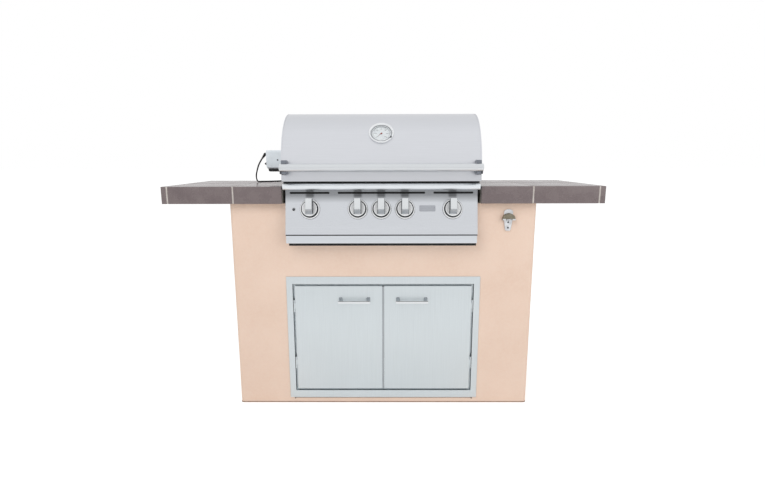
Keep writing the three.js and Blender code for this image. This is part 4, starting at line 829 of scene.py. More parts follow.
def door_surround():
    """The flange, its inner sleeve with the doors' stop, and the outer knuckles with their pins."""
    low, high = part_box("door_surround")
    ease_, side, end = 0.0008, FLANGE_SIDE, FLANGE_END
    part = ease_ * 0.3
    near, far = (WALL_FACE + place for place in STOP_PLACE)
    deep, back = WALL_FACE + SLEEVE_DEPTH, WALL_FACE - SEAT
    profile = [
        (0, 0, back), (0, 0, DOOR_FACE + ease_), (part, part, DOOR_FACE + part), (ease_, ease_, DOOR_FACE),
        (side - ease_, end - ease_, DOOR_FACE), (side - part, end - part, DOOR_FACE + part),
        (side, end, DOOR_FACE + ease_), (side, end, near), (side + STOP, end + STOP, near),
        (side + STOP, end + STOP, far), (side, end, far), (side, end, deep),
        (side - SLEEVE, end - SLEEVE, deep), (side - SLEEVE, end - SLEEVE, back),
    ]
    corners = [(low.x, low.z, 1, 1), (high.x, low.z, -1, 1), (high.x, high.z, -1, -1), (low.x, high.z, 1, -1)]
    loops = [[(x + sx * u, y, z + sz * v) for u, v, y in profile] for x, z, sx, sz in corners]
    forms = [skinned(loops, True)]
    half, quarter = KNUCKLE / 2, KNUCKLE / 4
    for name in ("left_door_hinge", "right_door_hinge"):
        x, y, _ = pivot(name)
        for z in KNUCKLE_HEIGHTS:
            for a, b in ((-half, -quarter - SEAT), (quarter + SEAT, half)):
                forms.append(rod_form((x, y, z + a), (x, y, z + b), BARREL_RADIUS, 32))
            forms.append(rod_form((x, y, z - half - 0.001), (x, y, z + half + 0.001), PIN_RADIUS, 24))
    piece("door_frame", forms, "door_steel", stands_for=["door_surround"])


def pull_post(root, reach, radius):
    """A handle's post: a tall foot on the door that tapers to the bar. Stations: share of the reach, half
    width, and how far it goes below and above the bar's middle."""
    stations = [
        (0, 0.0078, 0.0085, 0.0150), (0.05, 0.0078, 0.0085, 0.0150), (0.12, 0.0064, 0.0070, 0.0126),
        (0.55, 0.0056, 0.0048, 0.0078), (0.97, 0.0052, radius * 0.8, radius * 0.8),
    ]
    rings = []
    for share, half, under, over in stations:
        outline = rounded_outline(-half, half, -under, over, min(half, (under + over) / 2) * 0.6, 4)
        rings.append([root + Vector((u, -reach * share, v)) for u, v in outline])
    return skinned(rings)


def door(name):
    low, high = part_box(f"door_{name}")
    x, y, _ = pivot(f"{name}_door_hinge")
    back, s = DOOR_FACE + DOOR_DEPTH, DOOR_SHEET
    sign = 1 if high.x > 0 else -1
    x0, x1 = sorted((sign * min(abs(low.x), abs(high.x)), sign * DOOR_EDGE))
    skin = box_form((x0, DOOR_FACE, low.z), (x1, back, high.z), 0.0018, 3)
    hollow = box_form((x0 + s, DOOR_FACE + s, low.z + s), (x1 - s, back + OVERRUN, high.z - s), 0)
    forms = [cut(skin, hollow)]
    for z in KNUCKLE_HEIGHTS:
        z0, z1 = z - KNUCKLE / 4, z + KNUCKLE / 4
        forms.append(rod_form((x, y, z0), (x, y, z1), BARREL_RADIUS, 32))
        lug = sorted((x, sign * (DOOR_EDGE - s / 2)))
        forms.append(box_form((lug[0], y - s, z0), (lug[1], y + s, z1), 0.0003))
    body = f"{name}_door"
    piece(f"door_leaf_{name}", forms, "door_steel", stands_for=[f"door_{name}"], body=body)

    low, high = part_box(f"door_handle_{name}")
    z, radius = (low.z + high.z) / 2, (high.z - low.z) / 2
    bar_y, inset = low.y + radius, 0.009
    bar = rod_form((low.x, bar_y, z), (high.x, bar_y, z), radius, 48, 0.0022)
    ends = (low.x + inset, high.x - inset)
    posts = [pull_post(Vector((px, high.y, z)), high.y - bar_y, radius) for px in ends]
    # Painted light and shade: the bar is a paler steel darkened along its top, the posts a darker steel.
    piece(f"door_pull_{name}", [bar], "pull_metal", stands_for=[f"door_handle_{name}"], body=body)
    piece(f"door_pull_posts_{name}", posts, "post_metal", body=body)


def door_seal():
    """A folded strip on the left door's free edge, which closes the gap between the doors. Its darker steel tone
    is painted shade in the gap.
    """
    low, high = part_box("door_left")
    x0, x1, y, inset = high.x - SEAT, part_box("door_right")[0].x - SEAT, DOOR_FACE, 0.004
    seal = box_form((x0, y + 0.003, low.z + inset), (x1, y + 0.011, high.z - inset), 0.0003)
    piece("door_seal", seal, "post_metal", body="left_door")


def opening_shade_strip():
    """A thin black strip along the top and sides of the doors' opening: painted shade at the gap round the doors.
    """
    low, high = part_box("door_surround")
    wide, y0, y1 = 0.0011, DOOR_FACE - 0.0003, DOOR_FACE + 0.003
    x0, x1 = low.x + FLANGE_SIDE, high.x - FLANGE_SIDE
    z0, z1 = low.z + FLANGE_END, high.z - FLANGE_END
    strips = [(x0 - wide, x0, z0, z1), (x1, x1 + wide, z0, z1), (x0 - wide, x1 + wide, z1, z1 + wide)]
    forms = [box_form((a, y0, c), (b, y1, d), 0) for a, b, c, d in strips]
    piece("opening_shade_strip", forms, "black_plastic")


def flange_bead():
    """The bead under the door unit's flange, with a shim at each end. The bead's dark brownish tone is partly its
    own, partly painted shade under the flange.
    """
    low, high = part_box("door_surround")
    inset, root = 0.021, WALL_FACE + 0.001
    ends, z = (low.x + inset, high.x - inset), low.z
    bead = box_form((ends[0], WALL_FACE - 0.0016, z - 0.0036), (ends[1], root, z + 0.0004), 0.0008, 3)
    piece("flange_bead", bead, "bead")
    half, proud, drop = 0.0024, 0.0022, 0.0068
    shims = [box_form((x - half, WALL_FACE - proud, z - drop), (x + half, root, z), 0.0006) for x in ends]
    piece("flange_shims", shims, "shim")


# Grill front: panel, bezels, knobs, shelf and drip tray
PANEL_SHEET, STRIP_REACH, STRIP_HEIGHT = 0.0025, 0.020, 0.0207
SLOT_LIFT, SLOT_HEIGHT = 0.0025, 0.0085
MIDDLE_SLOT, SIDE_SLOT_GAP, SIDE_SLOT_INSET = 0.181, 0.034, 0.018
KNOB_BORE, BUTTON_BORE = 0.0043, 0.0056
KNOB_NAMES = ["knob_1", "knob_2", "knob_3", "knob_4", "knob_5"]
KNOB_RADIUS, KNOB_FOOT, KNOB_DISC_TOP, KNOB_CREST = 0.033, 0.004, 0.0195, 0.046


def knob_frame(name):
    return frame_at(pivot(f"{name}_turn"), axis_of(f"{name}_turn"))


def bore_at(place, back, reach, radius, sides=24, edge=0.0006):
    """A rod on a frame's own axis, from back to reach."""
    return rod_form(place @ Vector((0, 0, back)), place @ Vector((0, 0, reach)), radius, sides, edge)


def panel_outline():
    low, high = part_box("control_panel")
    knob, axis = pivot("knob_1_turn"), axis_of("knob_1_turn")
    reach, back = WALL_FACE - STRIP_REACH, WALL_FACE - SEAT
    fold_y = knob.y - axis.z / axis.y * (low.z - knob.z)
    return [(back, high.z), (reach, high.z), (reach, high.z - STRIP_HEIGHT), (fold_y, low.z), (back, low.z)]


def control_panel():
    low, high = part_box("control_panel")
    outline = panel_outline()
    (back, top), (reach, _), (_, bend), (fold_y, fold), _ = outline
    s, past = PANEL_SHEET, back + OVERRUN
    shell = bevelled(prism_form(outline, low.x, high.x, along_x), 0.0014, 3, 0.15)
    roof, front, floor = top - s, reach + s, fold + s
    inside = [(past, roof), (front, roof), (front, bend), (fold_y + s, floor), (past, floor)]
    hollow = prism_form(inside, low.x + s, high.x - s, along_x)
    middle = middle_of("hood_shell").x
    end, side = high.x - middle - SIDE_SLOT_INSET, MIDDLE_SLOT + SIDE_SLOT_GAP
    z0 = bend + SLOT_LIFT
    cutters = []
    for a, b in ((-end, -side), (-MIDDLE_SLOT, MIDDLE_SLOT), (side, end)):
        ends = rounded_outline(middle + a, middle + b, z0, z0 + SLOT_HEIGHT, SLOT_HEIGHT * 0.45)
        cutters.append(prism_form(ends, reach - OVERRUN, reach + s * 2, along_y))
    cutters += [bore_at(knob_frame(name), -0.01, 0.01, KNOB_BORE) for name in KNOB_NAMES]
    cutters.append(bore_at(button_frame(), -0.012, 0.01, BUTTON_BORE))
    form = cut(cut(shell, hollow), *cutters)
    # The panel's steel is painted darker under the shelf, with a painted reflection above each knob.
    piece("grill_panel", form, "panel_steel", stands_for=["control_panel"], sharp=25)
    # A black sheet behind the vent slots: painted shade inside the panel.
    y0, y1 = reach + s * 1.2, reach + s * 1.2 + 0.001
    shade = [(y0, bend), (y0, top - s * 1.5), (y1, top - s * 1.5), (y1, bend)]
    shade = bevelled(prism_form(shade, low.x + s * 2, high.x - s * 2, along_x), 0.0002)
    piece("slot_shade_sheet", shade, "dark_gap")


def knob_bezels():
    profile = [
        (0, 0.002), (0.0342, 0.002), (0.0347, 0.0026), (0.0350, 0.0060), (0.0356, 0.0074), (0.0366, 0.0082),
        (0.0380, 0.0082), (0.0392, 0.0070), (0.0404, 0.0046), (0.0411, 0.0030), (0.0419, 0.0018),
        (0.0421, 0.0006), (0.0421, -0.0004), (0, -0.0004),
    ]
    dark_within, dark_beyond = 0.0362, 0.0412
    bezels = [lathe_form(profile, knob_frame(name), 96) for name in KNOB_NAMES]
    made = piece("knob_bezels", bezels, "knob_ring")
    centres = [pivot(f"{name}_turn") for name in KNOB_NAMES]

    # Painted shade: near black in the gap round the disc and dark on the outer edge. The near-white ring between
    # is painted highlight.
    def choose(face):
        reach = min((face.center - centre).length for centre in centres)
        return 1 if reach < dark_within else 2 if reach > dark_beyond else 0

    paint(made, ["dark_gap", "knob_flank"], choose)


def grip_form():
    """The bar on a knob in its own frame. Its flat outer face reaches past the disc at the top and falls
    off in a slope at the bottom. Stations: place along the bar at the disc and at the top, and the top."""
    foot, waist, round_, base = 0.0160, 0.0132, 0.0022, KNOB_DISC_TOP - 0.001
    disc, crest = KNOB_DISC_TOP, KNOB_CREST
    stations = [
        (-0.0230, -0.0230, disc + 0.0008), (-0.0212, -0.0206, disc + 0.0060),
        (-0.0130, -0.0110, crest - 0.0050), (-0.0100, -0.0080, crest - 0.0008),
        (-0.0080, -0.0060, crest), (0.0270, 0.0365, crest),
        (0.0282, 0.0388, crest - 0.0012), (0.0288, 0.0398, crest - 0.0036),
    ]
    rings = []
    for v_base, v_top, top in stations:
        section = [(-foot, base), (-waist, top - round_ * 0.3)]
        section += arc(round_ - waist, top - round_ * 0.3, round_, round_ * 0.3, 0.5, -0.25, 3)[1:]
        section += [(-u, h) for u, h in reversed(section)]
        rings.append([(u, v_base + (v_top - v_base) * (h - base) / (top - base), h) for u, h in section])
    return skinned(rings)


def knobs():
    base, top, radius = KNOB_FOOT, KNOB_DISC_TOP, KNOB_RADIUS
    shaft_radius, shaft_back, shaft_root, rim_width, rim_drop = 0.004, 0.016, 0.002, 0.0015, 0.0005
    rim = [(0.0006, 0.0014), (0.0020, 0.0003), (0.0034, 0), (0.0052, 0.0004), (0.0064, 0.0010)]
    disc = [(0, base), (radius - 0.0008, base), (radius, base + 0.0008), (radius, top - 0.0030)]
    disc += [(radius - u, top - v) for u, v in rim] + [(0, top - 0.0010)]
    for name in KNOB_NAMES:
        place = knob_frame(name)
        back = place.inverted()
        shaft = bore_at(place, -shaft_back, base + shaft_root, shaft_radius)
        forms = [lathe_form(disc, place, 96), shaft, moved(grip_form(), place)]
        made = piece(f"burner_{name}", forms, "knob_metal", [name], f"{name}_body")

        # Painted light and shade: dark steel on the disc's rim and the grip's sides and top end, grey on the
        # grip's lower facet, near-white on the disc.
        def choose(face):
            normal, centre = back.to_3x3() @ face.normal, back @ face.center
            if centre.xy.length > radius - rim_width and centre.z < top - rim_drop:
                return 1
            if centre.z < top:
                return 3
            if abs(normal.x) > 0.6 or normal.y > 0.5:
                return 1
            return 2 if normal.y < -0.15 else 0

        paint(made, ["knob_flank", "knob_shade", "knob_disc"], choose)


def button_frame():
    """The light button's frame: local z points out of the panel and the origin is on its face."""
    axis, middle = -axis_of("light_button_push"), middle_of("light_button")
    return frame_at(middle - axis * (middle - pivot("knob_1_turn")).dot(axis), axis)


def light_button():
    low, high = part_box("light_button")
    place = button_frame()
    r, out, back = (high.x - low.x) / 2, 0.0066, 0.0112
    cap = [
        (0, -back), (r - 0.0012, -back), (r - 0.0012, -0.0030), (r, -0.0026), (r, out - 0.0012),
        (r - 0.0004, out - 0.0004), (r - 0.0013, out), (r - 0.0020, out - 0.0003), (0, out - 0.0006),
    ]
    piece("lamp_button", lathe_form(cap, place, 48), "screw_metal", ["light_button"], "button")
    collar = [
        (r + 0.0005, -0.0002), (r + 0.0005, 0.0016), (r + 0.0009, 0.0020), (r + 0.0022, 0.0018),
        (r + 0.0032, 0.0008), (r + 0.0034, -0.0002),
    ]
    piece("button_collar", lathe_form(collar, place, 48), "chrome_plate")


BADGE_PLACE, BADGE_DROP = 0.190, 0.057
BADGE_HALF, BADGE_SHEET = (0.033, 0.0125), 0.0016


def badge_plate():
    """A bare plate on the panel, held by two rivets."""
    knob, axis = pivot("knob_1_turn"), axis_of("knob_1_turn")
    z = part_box("control_panel")[1].z - STRIP_HEIGHT - BADGE_DROP
    y = knob.y - axis.z / axis.y * (z - knob.z)
    place = frame_at((middle_of("hood_shell").x + BADGE_PLACE, y, z), axis)
    u, v = BADGE_HALF
    outline = rounded_outline(-u, u, -v, v, 0.003)
    forms = [prism_form(outline, -0.0002, BADGE_SHEET, within(place), 0.0006, 3)]
    dome = [(0, 0), (0.0017, 0), (0.0017, 0.0003), (0.0013, 0.0008), (0.0007, 0.0011), (0, 0.0012)]
    for x in (0.0045 - u, u - 0.0045):
        spot = Matrix.Translation((x, 0, BADGE_SHEET - 0.0001))
        forms.append(moved(lathe_form(dome, sides=20), place @ spot))
    piece("badge_plate", forms, "badge_metal")


def front_shelf():
    low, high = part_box("front_bullnose")
    r = (high.z - low.z) / 2
    outline = [(high.y, low.z), (high.y, high.z), *arc(low.y + r, low.z + r, r, r, 0.25, 0.5, 20)]
    form = prism_form(outline, low.x, high.x, along_x, 0.0015, 3)
    piece("front_shelf", form, "shelf_metal", ["front_bullnose"], sharp=25)


def drip_tray():
    (x0, y0, z0), (x1, y1, _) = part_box("drip_tray")
    front_height, thickness, s, inset, pan_height = 0.032, 0.0025, 0.002, 0.022, 0.0233
    plate = box_form((x0, y0, z0), (x1, y0 + thickness, z0 + front_height), 0.0009, 3)
    x0, x1, z1 = x0 + inset, x1 - inset, z0 + SEAT
    pan = box_form((x0, y0 + 0.001, z1), (x1, y1, z0 + pan_height), 0.0008)
    hollow = box_form((x0 + s, y0 + thickness, z1 + s), (x1 - s, y1 - s, z0 + pan_height + OVERRUN), 0)
    forms = [plate, cut(pan, hollow)]
    piece("drip_drawer", forms, "steel_brushed_across", stands_for=["drip_tray"], body="tray")


def cutout_shade_liner():
    """A black lip on the stucco under the tray, which closes the gap to the cabinet's inside. Its black is painted
    shade, the dark gap under the tray.
    """
    (x0, _, z), (x1, _, _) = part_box("drip_tray")
    (_, y0, _), (_, y1, _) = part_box("front_wall")
    a, b, edge, s = x0 + NOTCH_SIDE, x1 - NOTCH_SIDE, z - NOTCH_DROP, 0.0012
    boxes = [
        ((a, y0 + 0.0004, edge), (b, y1, edge + s)),
        ((a, y1 - 0.004, edge), (b, y1 - 0.004 + s, z - s)),
        ((x0 + 0.0017, y0 - 0.0008, edge - 0.0004), (x1 + 0.0055, y0 + 0.0006, z - s)),
    ]
    piece("cutout_shade_liner", [box_form(low, high, 0.0003) for low, high in boxes], "dark_gap")


def panel_fold_shade():
    """A black strip at the panel's underside fold: painted shade in the slit above the tray."""
    (x0, _, z), (x1, _, _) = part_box("control_panel")
    y, inset = panel_outline()[3][0] + PANEL_SHEET, 0.0006
    form = box_form((x0 + inset, y + 0.0005, z - 0.0062), (x1 - inset, y + 0.0025, z + 0.0012), 0.0003)
    piece("panel_fold_shade", form, "dark_gap")


def hood_gap_shade():
    """A black strip on the shelf that the hood closes over: painted shade in the gap under the hood's lip."""
    low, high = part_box("front_bullnose")
    hood_low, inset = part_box("hood_shell")[0], 0.0006
    y = hood_low.y + HOOD_SHEET + 0.0015
    form = box_form((low.x + inset, y, high.z), (high.x - inset, y + 0.004, hood_low.z + 0.003), 0.0006)
    piece("hood_gap_shade", form, "dark_gap")


# Cooking parts under the hood
def spaced(first, last, count):
    return [first + (last - first) * i / (count - 1) for i in range(count)]


def middles(first, last, count):
    """The middles of so many equal shares."""
    return [first + (last - first) * (i + 0.5) / count for i in range(count)]


def grates():
    radius, tie_radius, tie_lift, inset, rods = 0.0042, 0.0035, 0.0036, 0.001, 13
    for index in (1, 2, 3):
        low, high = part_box(f"grate_{index}")
        z, under = high.z - radius, low.z + tie_lift
        forms = []
        for x in spaced(low.x + radius, high.x - radius, rods):
            forms.append(rod_form((x, low.y, z), (x, high.y, z), radius, 20, 0.0015))
        for share in (0.035, 0.5, 0.965):
            y = low.y + (high.y - low.y) * share
            ends = ((low.x + inset, y, under), (high.x - inset, y, under))
            forms.append(rod_form(*ends, tie_radius, 20, 0.0012))
        piece(f"cooking_grate_{index}", forms, "grate_metal", [f"grate_{index}"])


def burners():
    """A tube with a narrow inlet, a peg at the back and two rows of ports."""
    tube, inlet, peg, sides, ports, port_angle = 0.018, 0.007, 0.004, 48, 34, math.radians(38)
    for index in (1, 2, 3, 4):
        low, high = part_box(f"burner_{index}")
        x, z = (low.x + high.x) / 2, (low.z + high.z) / 2
        start, end, whole = 0.024, high.y - 0.028 - low.y, high.y - low.y
        profile = [
            (0, 0), (inlet, 0), (inlet, start - 0.012), (inlet + 0.003, start - 0.006),
            (tube - 0.004, start + 0.004), (tube - 0.001, start + 0.010), (tube - 0.0003, start + 0.016),
            (tube - 0.0003, end - 0.004), (tube - 0.001, end - 0.0012), (tube - 0.003, end), (peg, end),
            (peg, whole - 0.001), (peg - 0.001, whole), (0, whole),
        ]
        forms = [lathe_form(profile, frame_at((x, low.y, z), (0, 1, 0)), sides)]
        for angle in (-port_angle, port_angle):
            out = Vector((math.sin(angle), 0, math.cos(angle)))
            for y in spaced(low.y + start + 0.03, low.y + end - 0.02, ports):
                port = box_form((-0.0035, -0.0007, 0), (0.0035, 0.0007, 0.0006), 0.0002, 1)
                forms.append(moved(port, frame_at(Vector((x, y, z)) + out * (tube - 0.0006), out, ALONG_Y)))
        made = piece(f"burner_tube_{index}", forms, "steel_brushed_upright", stands_for=[f"burner_{index}"])
        # The port marks are black: painted shade in the holes.
        paint(made, ["dark_gap"], lambda face: int(face.index >= (len(profile) - 1) * sides))


def heat_plates():
    sheet, foot, crown, edge, slots = 0.0015, 0.010, 0.008, 0.0006, 7
    slot_half, slot_reach, past = 0.004, 0.016, 0.01
    for index in (1, 2, 3, 4):
        low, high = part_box(f"heat_plate_{index}")
        middle = (low.x + high.x) / 2

        def mirrored(points):
            return [(2 * middle - x, z) for x, z in points]

        over = low.z + sheet
        side = [(low.x, low.z), (low.x + foot, low.z), (middle - crown, high.z - sheet)]
        outer = [(low.x, over), (low.x + foot - edge, over), (middle - crown - edge, high.z)]
        outline = [*side, *mirrored(side[::-1]), *mirrored(outer), *outer[::-1]]
        cutters = []
        for y in middles(low.y, high.y, slots):
            for sign in (-1, 1):
                x = middle + sign * (crown + (high.x - middle - foot - crown) * 0.45)
                near = (x - slot_half, y - slot_reach, low.z - past)
                cutters.append(box_form(near, (x + slot_half, y + slot_reach, high.z + past), 0.003, 3))
        plate = cut(prism_form(outline, low.y, high.y, along_y), *cutters)
        piece(f"flame_tamer_{index}", plate, "dark_metal", [f"heat_plate_{index}"])


def warming_rack():
    low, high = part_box("warming_rack")
    radius, z, inset, count = (high.z - low.z) / 2, (low.z + high.z) / 2, 0.001, 33
    forms = []
    for i, x in enumerate(spaced(low.x + radius, high.x - radius, count)):
        thin = radius if i in (0, count - 1) else radius * 0.6
        forms.append(rod_form((x, low.y + inset, z), (x, high.y - inset, z), thin, 16))
    middle = (low.y + high.y) / 2
    for y, drop, share in ((low.y + radius, 0, 1), (middle, 0.35, 0.65), (high.y - radius, 0, 1)):
        at = z - radius * drop
        forms.append(rod_form((low.x, y, at), (high.x, y, at), radius * share, 20))
    piece("rack_wires", forms, "chrome_plate", ["warming_rack"])


def rear_screen():
    """Ceramic plaques and guard wires in the rear burner's mouth."""
    low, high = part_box("rear_burner")
    border, y, gap, past, wire = 0.0095, low.y + 0.0078, 0.0008, 0.001, 0.0007
    x0, x1, z0, z1 = low.x + border, high.x - border, low.z + border, high.z - border
    plaques, stops = [], spaced(x0, x1, 5)
    for a, b in zip(stops, stops[1:]):
        corners = ((a + gap, y - 0.003, z0 + 0.0005), (b - gap, y + 0.0004, z1 - 0.0005))
        plaques.append(box_form(*corners, 0.0008))
    piece("burner_plaques", plaques, "ceramic_plaque")
    near, far = low.y + 0.0016, low.y + 0.0028
    wires = [rod_form((x, near, z0 - past), (x, near, z1 + past), wire, 8) for x in middles(x0, x1, 40)]
    for share in (0.3, 0.7):
        z = z0 + (z1 - z0) * share
        wires.append(rod_form((x0 - past, far, z), (x1 + past, far, z), wire, 8))
    piece("burner_guard", wires, "grate_metal")


# Hood
HOOD_FRONT_RADIUS, HOOD_REAR_RADIUS, HOOD_SHEET = 0.242, 0.118, 0.002
SPIT_SLOT_HALF, GAUGE_HOLE, PIN_BORE = 0.015, 0.0523, 0.0043
SEAM, SEAM_PLACE, SEAM_DEPTH = 0.0014, 0.0055, 0.0011


def hood_outline(inset, bottom):
    low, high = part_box("hood_shell")
    front, back, top = low.y + inset, high.y - inset, high.z - inset
    r, s = HOOD_FRONT_RADIUS - inset, HOOD_REAR_RADIUS - inset
    rear = arc(back - s, top - s, s, s, 0, 0.25, 40)
    return [(back, bottom), *rear, *arc(front + r, top - r, r, r, 0.25, 0.25, 40), (front, bottom)]


def gauge_frame():
    return frame_at(pivot("thermometer_needle_turn"), -axis_of("thermometer_needle_turn"))


def hood():
    low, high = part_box("hood_shell")
    s, half, past = HOOD_SHEET, SPIT_SLOT_HALF, low.z - OVERRUN
    x0, x1 = low.x - OVERRUN, high.x + OVERRUN
    spit, hinge = pivot("spit_turn"), pivot("hood_hinge")
    outer = prism_form(hood_outline(0, low.z), low.x, high.x, along_x, 0.0035, 4)
    inner = prism_form(hood_outline(s, past), low.x + s, high.x - s, along_x)
    slot = [(spit.y - half, past), (spit.y + half, past), *arc(spit.y, spit.z, half, half, 0, 0.5, 12)]
    slot = prism_form(slot, x0, low.x + OVERRUN, along_x)
    rear = box_form((low.x + s, high.y - s * 2, past), (high.x - s, high.y + OVERRUN, low.z + 0.020), 0)
    hole = bore_at(gauge_frame(), -0.03, 0.03, GAUGE_HOLE, 96, 0)
    pins = rod_form((x0, hinge.y, hinge.z), (x1, hinge.y, hinge.z), PIN_BORE, 24, 0)
    seams = []
    for x in (low.x + SEAM_PLACE, high.x - SEAM_PLACE - SEAM):
        ring = prism_form(hood_outline(-OVERRUN, past), x, x + SEAM, along_x)
        core = prism_form(hood_outline(SEAM_DEPTH, past - OVERRUN), x - OVERRUN, x + OVERRUN, along_x)
        seams.append(cut(ring, core))
    form = cut(cut(cut(outer, inner), slot, rear, hole, pins), *seams)
    # The skin's steel is painted darker under the handle and towards the crown: painted shade.
    piece("hood_skin", form, "hood_steel", stands_for=["hood_shell"], body="hood", sharp=25)


def hood_handle():
    low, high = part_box("hood_handle")
    radius, inset, shoulder = (high.z - low.z) / 2, 0.0045, 0.006
    bolt_radius, bolt_drop, bolt_root = 0.0034, 0.0105, 0.004
    _, y, z = middle_of("hood_handle")
    bar = rod_form((low.x, y, z), (high.x, y, z), radius, 64, 0.003)
    # The bar's steel is painted darker along its underside: painted shade.
    piece("hood_bar", bar, "hood_bar_metal", ["hood_handle"], "hood")
    bolts = []
    for x in (low.x + inset, high.x - inset):
        bolts.append(rod_form((x, y, low.z - bolt_drop), (x, y, low.z + bolt_root), bolt_radius, 24, 0.001))
    piece("bar_bolts", bolts, "screw_metal", body="hood")
    for side, near, far in (("left", 0, shoulder), ("right", shoulder, 0)):
        name = f"handle_bracket_{side}"
        a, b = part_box(name)
        x0, x1, top = a.x - OVERRUN, b.x + OVERRUN, b.z + OVERRUN
        outline = rounded_outline(y, b.y, a.z + 0.001, b.z - 0.001, 0.009)
        block = prism_form(outline, a.x + near, b.x - far, along_x, 0.0015, 3)
        trim = box_form((x0, b.y - 0.0001, a.z - OVERRUN), (x1, b.y + OVERRUN, top), 0)
        saddle = rod_form((x0, y, z), (x1, y, z), radius + SEAT, 64, 0)
        piece(f"bar_bracket_{side}", cut(block, saddle, trim), "bracket_metal", [name], "hood")


GAUGE_SWEEP, GAUGE_FIRST = math.radians(270), math.radians(225)
DIAL_RADIUS, DIAL_FACE = 0.0362, -0.0046


def text_form(words, size, height):
    data = bpy.data.curves.new("numeral", "FONT")
    data.body, data.size, data.extrude = words, size, height / 2
    data.align_x = data.align_y = "CENTER"
    holder = added("numeral", data)
    mesh = bpy.data.meshes.new_from_object(holder.evaluated_get(bpy.context.evaluated_depsgraph_get()))
    form = bmesh.new()
    form.from_mesh(mesh)
    bpy.data.meshes.remove(mesh)
    bpy.data.curves.remove(data)
    return form


def gauge_case():
    flange, groove, rim, dial = 0.052, 0.0426, 0.0404, DIAL_RADIUS
    profile = [
        (0, -0.009), (flange, -0.009), (flange, 0.0018), (flange - 0.0005, 0.0026), (flange - 0.0016, 0.0031),
        (flange - 0.0040, 0.0034), (flange - 0.0060, 0.0030), (groove + 0.0008, -0.0002), (groove, -0.0014),
        (groove - 0.0002, -0.0030), (rim + 0.0002, -0.0030), (rim, -0.0018), (rim - 0.0006, -0.0006),
        (rim - 0.0018, 0.0002), (dial + 0.0012, 0.0), (dial + 0.0003, -0.0008), (dial, -0.0018),
        (dial, -0.0052), (0, -0.0052),
    ]
    place = gauge_frame()
    back = place.inverted()
    form = lathe_form(profile, place, 96)
    made = piece("gauge_case", form, "bezel_ring", stands_for=["thermometer_case"], body="hood")

    # Painted shade: the groove and the dial's wall take a darker copy of the steel.
    def choose(face):
        centre = back @ face.center
        reach = centre.xy.length
        in_groove = rim - 0.0001 < reach < groove + 0.0004 and centre.z < -0.0006
        return int(in_groove or (reach < dial + 0.0006 and -0.0050 < centre.z < -0.0005))

    paint(made, ["post_metal"], choose)


def gauge_marks():
    """Thirty steps round the dial, and a number at every fifth."""
    place, marks, count = gauge_frame(), [], 30
    first_number, number_step, number_reach, number_size = 100, 20, 0.0235, 0.0052
    for i in range(count + 1):
        angle = GAUGE_FIRST - GAUGE_SWEEP * i / count
        inner, half = (0.0304, 0.00028) if i % 5 else (0.0282, 0.0005)
        low, high = (inner, -half, DIAL_FACE - 0.0001), (0.0332, half, DIAL_FACE + 0.00012)
        marks.append(moved(box_form(low, high, 0.00003, 1), place @ Matrix.Rotation(angle, 4, "Z")))
        if i % 5 == 0:
            number = text_form(str(first_number + i * number_step), number_size, 0.0002)
            spot = (math.cos(angle) * number_reach, math.sin(angle) * number_reach, DIAL_FACE)
            marks.append(moved(number, place @ Matrix.Translation(spot)))
    piece("gauge_marks", marks, "dial_ink", body="hood")


def thermometer():
    gauge_case()
    place, dial, face = gauge_frame(), DIAL_RADIUS, DIAL_FACE
    edge = dial - 0.0002
    plate = [(0, face - 0.0006), (edge, face - 0.0006), (edge, face), (0, face)]
    piece("gauge_dial", lathe_form(plate, place, 96), "dial_enamel", body="hood")
    gauge_marks()

    low, high = face + 0.0006, face + 0.0014
    hand = [(0.0205, -0.0002), (0.0205, 0.0002), (0.0030, 0.0011), (-0.0060, 0.0008), (-0.0060, -0.0008)]
    hand = prism_form([*hand, (0.0030, -0.0011)], low, high, upright)
    hub = [(0, low), (0.0036, low), (0.0036, high), (0.0031, high + 0.0005), (0.0018, high + 0.0009)]
    stem = [(0, low - 0.0050), (0.0019, low - 0.0050), (0.0019, low + 0.0002), (0, low + 0.0002)]
    hub = lathe_form([*hub, (0, high + 0.0010)], sides=40)
    whole = merged(moved(hand, Matrix.Rotation(GAUGE_FIRST, 4, "Z")), hub, lathe_form(stem, sides=24))
    whole = moved(whole, place)
    piece("gauge_needle", whole, "needle_paint", ["thermometer_needle"], "needle")

    under, over = -0.0018, -0.0010
    lens = [(0, under), (dial + 0.0002, under), (dial + 0.0002, over), (dial * 0.6, over + 0.0003)]
    piece("gauge_lens", lathe_form([*lens, (0, over + 0.0004)], place, 96), "gauge_glass", body="hood")
    screw = [(0, 0.001), (0.0036, 0.001), (0.0036, 0.0046), (0.0029, 0.0056), (0, 0.0058)]
    screw = moved(lathe_form(screw, sides=32), place @ Matrix.Translation((0.0398, -0.0245, 0)))
    piece("gauge_screw", screw, "screw_metal", body="hood")


# Rotisserie motor
MOTOR_END_INSET, FOOT_INSET = 0.007, 0.0115
CHAMFER = (0.0065, 0.0115)
SEAM_REACH, SEAM_WIDTH = 0.024, 0.0009
BUTTON_REACH, BUTTON_ROOT, BUTTON_PLAY = 0.0105, 0.0060, 0.0005
GLAND_RADIUS, GLAND_SEAT, GLAND_LIFT = 0.0065, 0.005, 0.0633
VENT_ROWS, VENT_PLACE, VENT_PITCH, VENT_HEIGHT = 5, 0.026, 0.0075, 0.0032
VENT_NEAR, VENT_FAR, VENT_DEPTH = 0.034, 0.014, 0.004


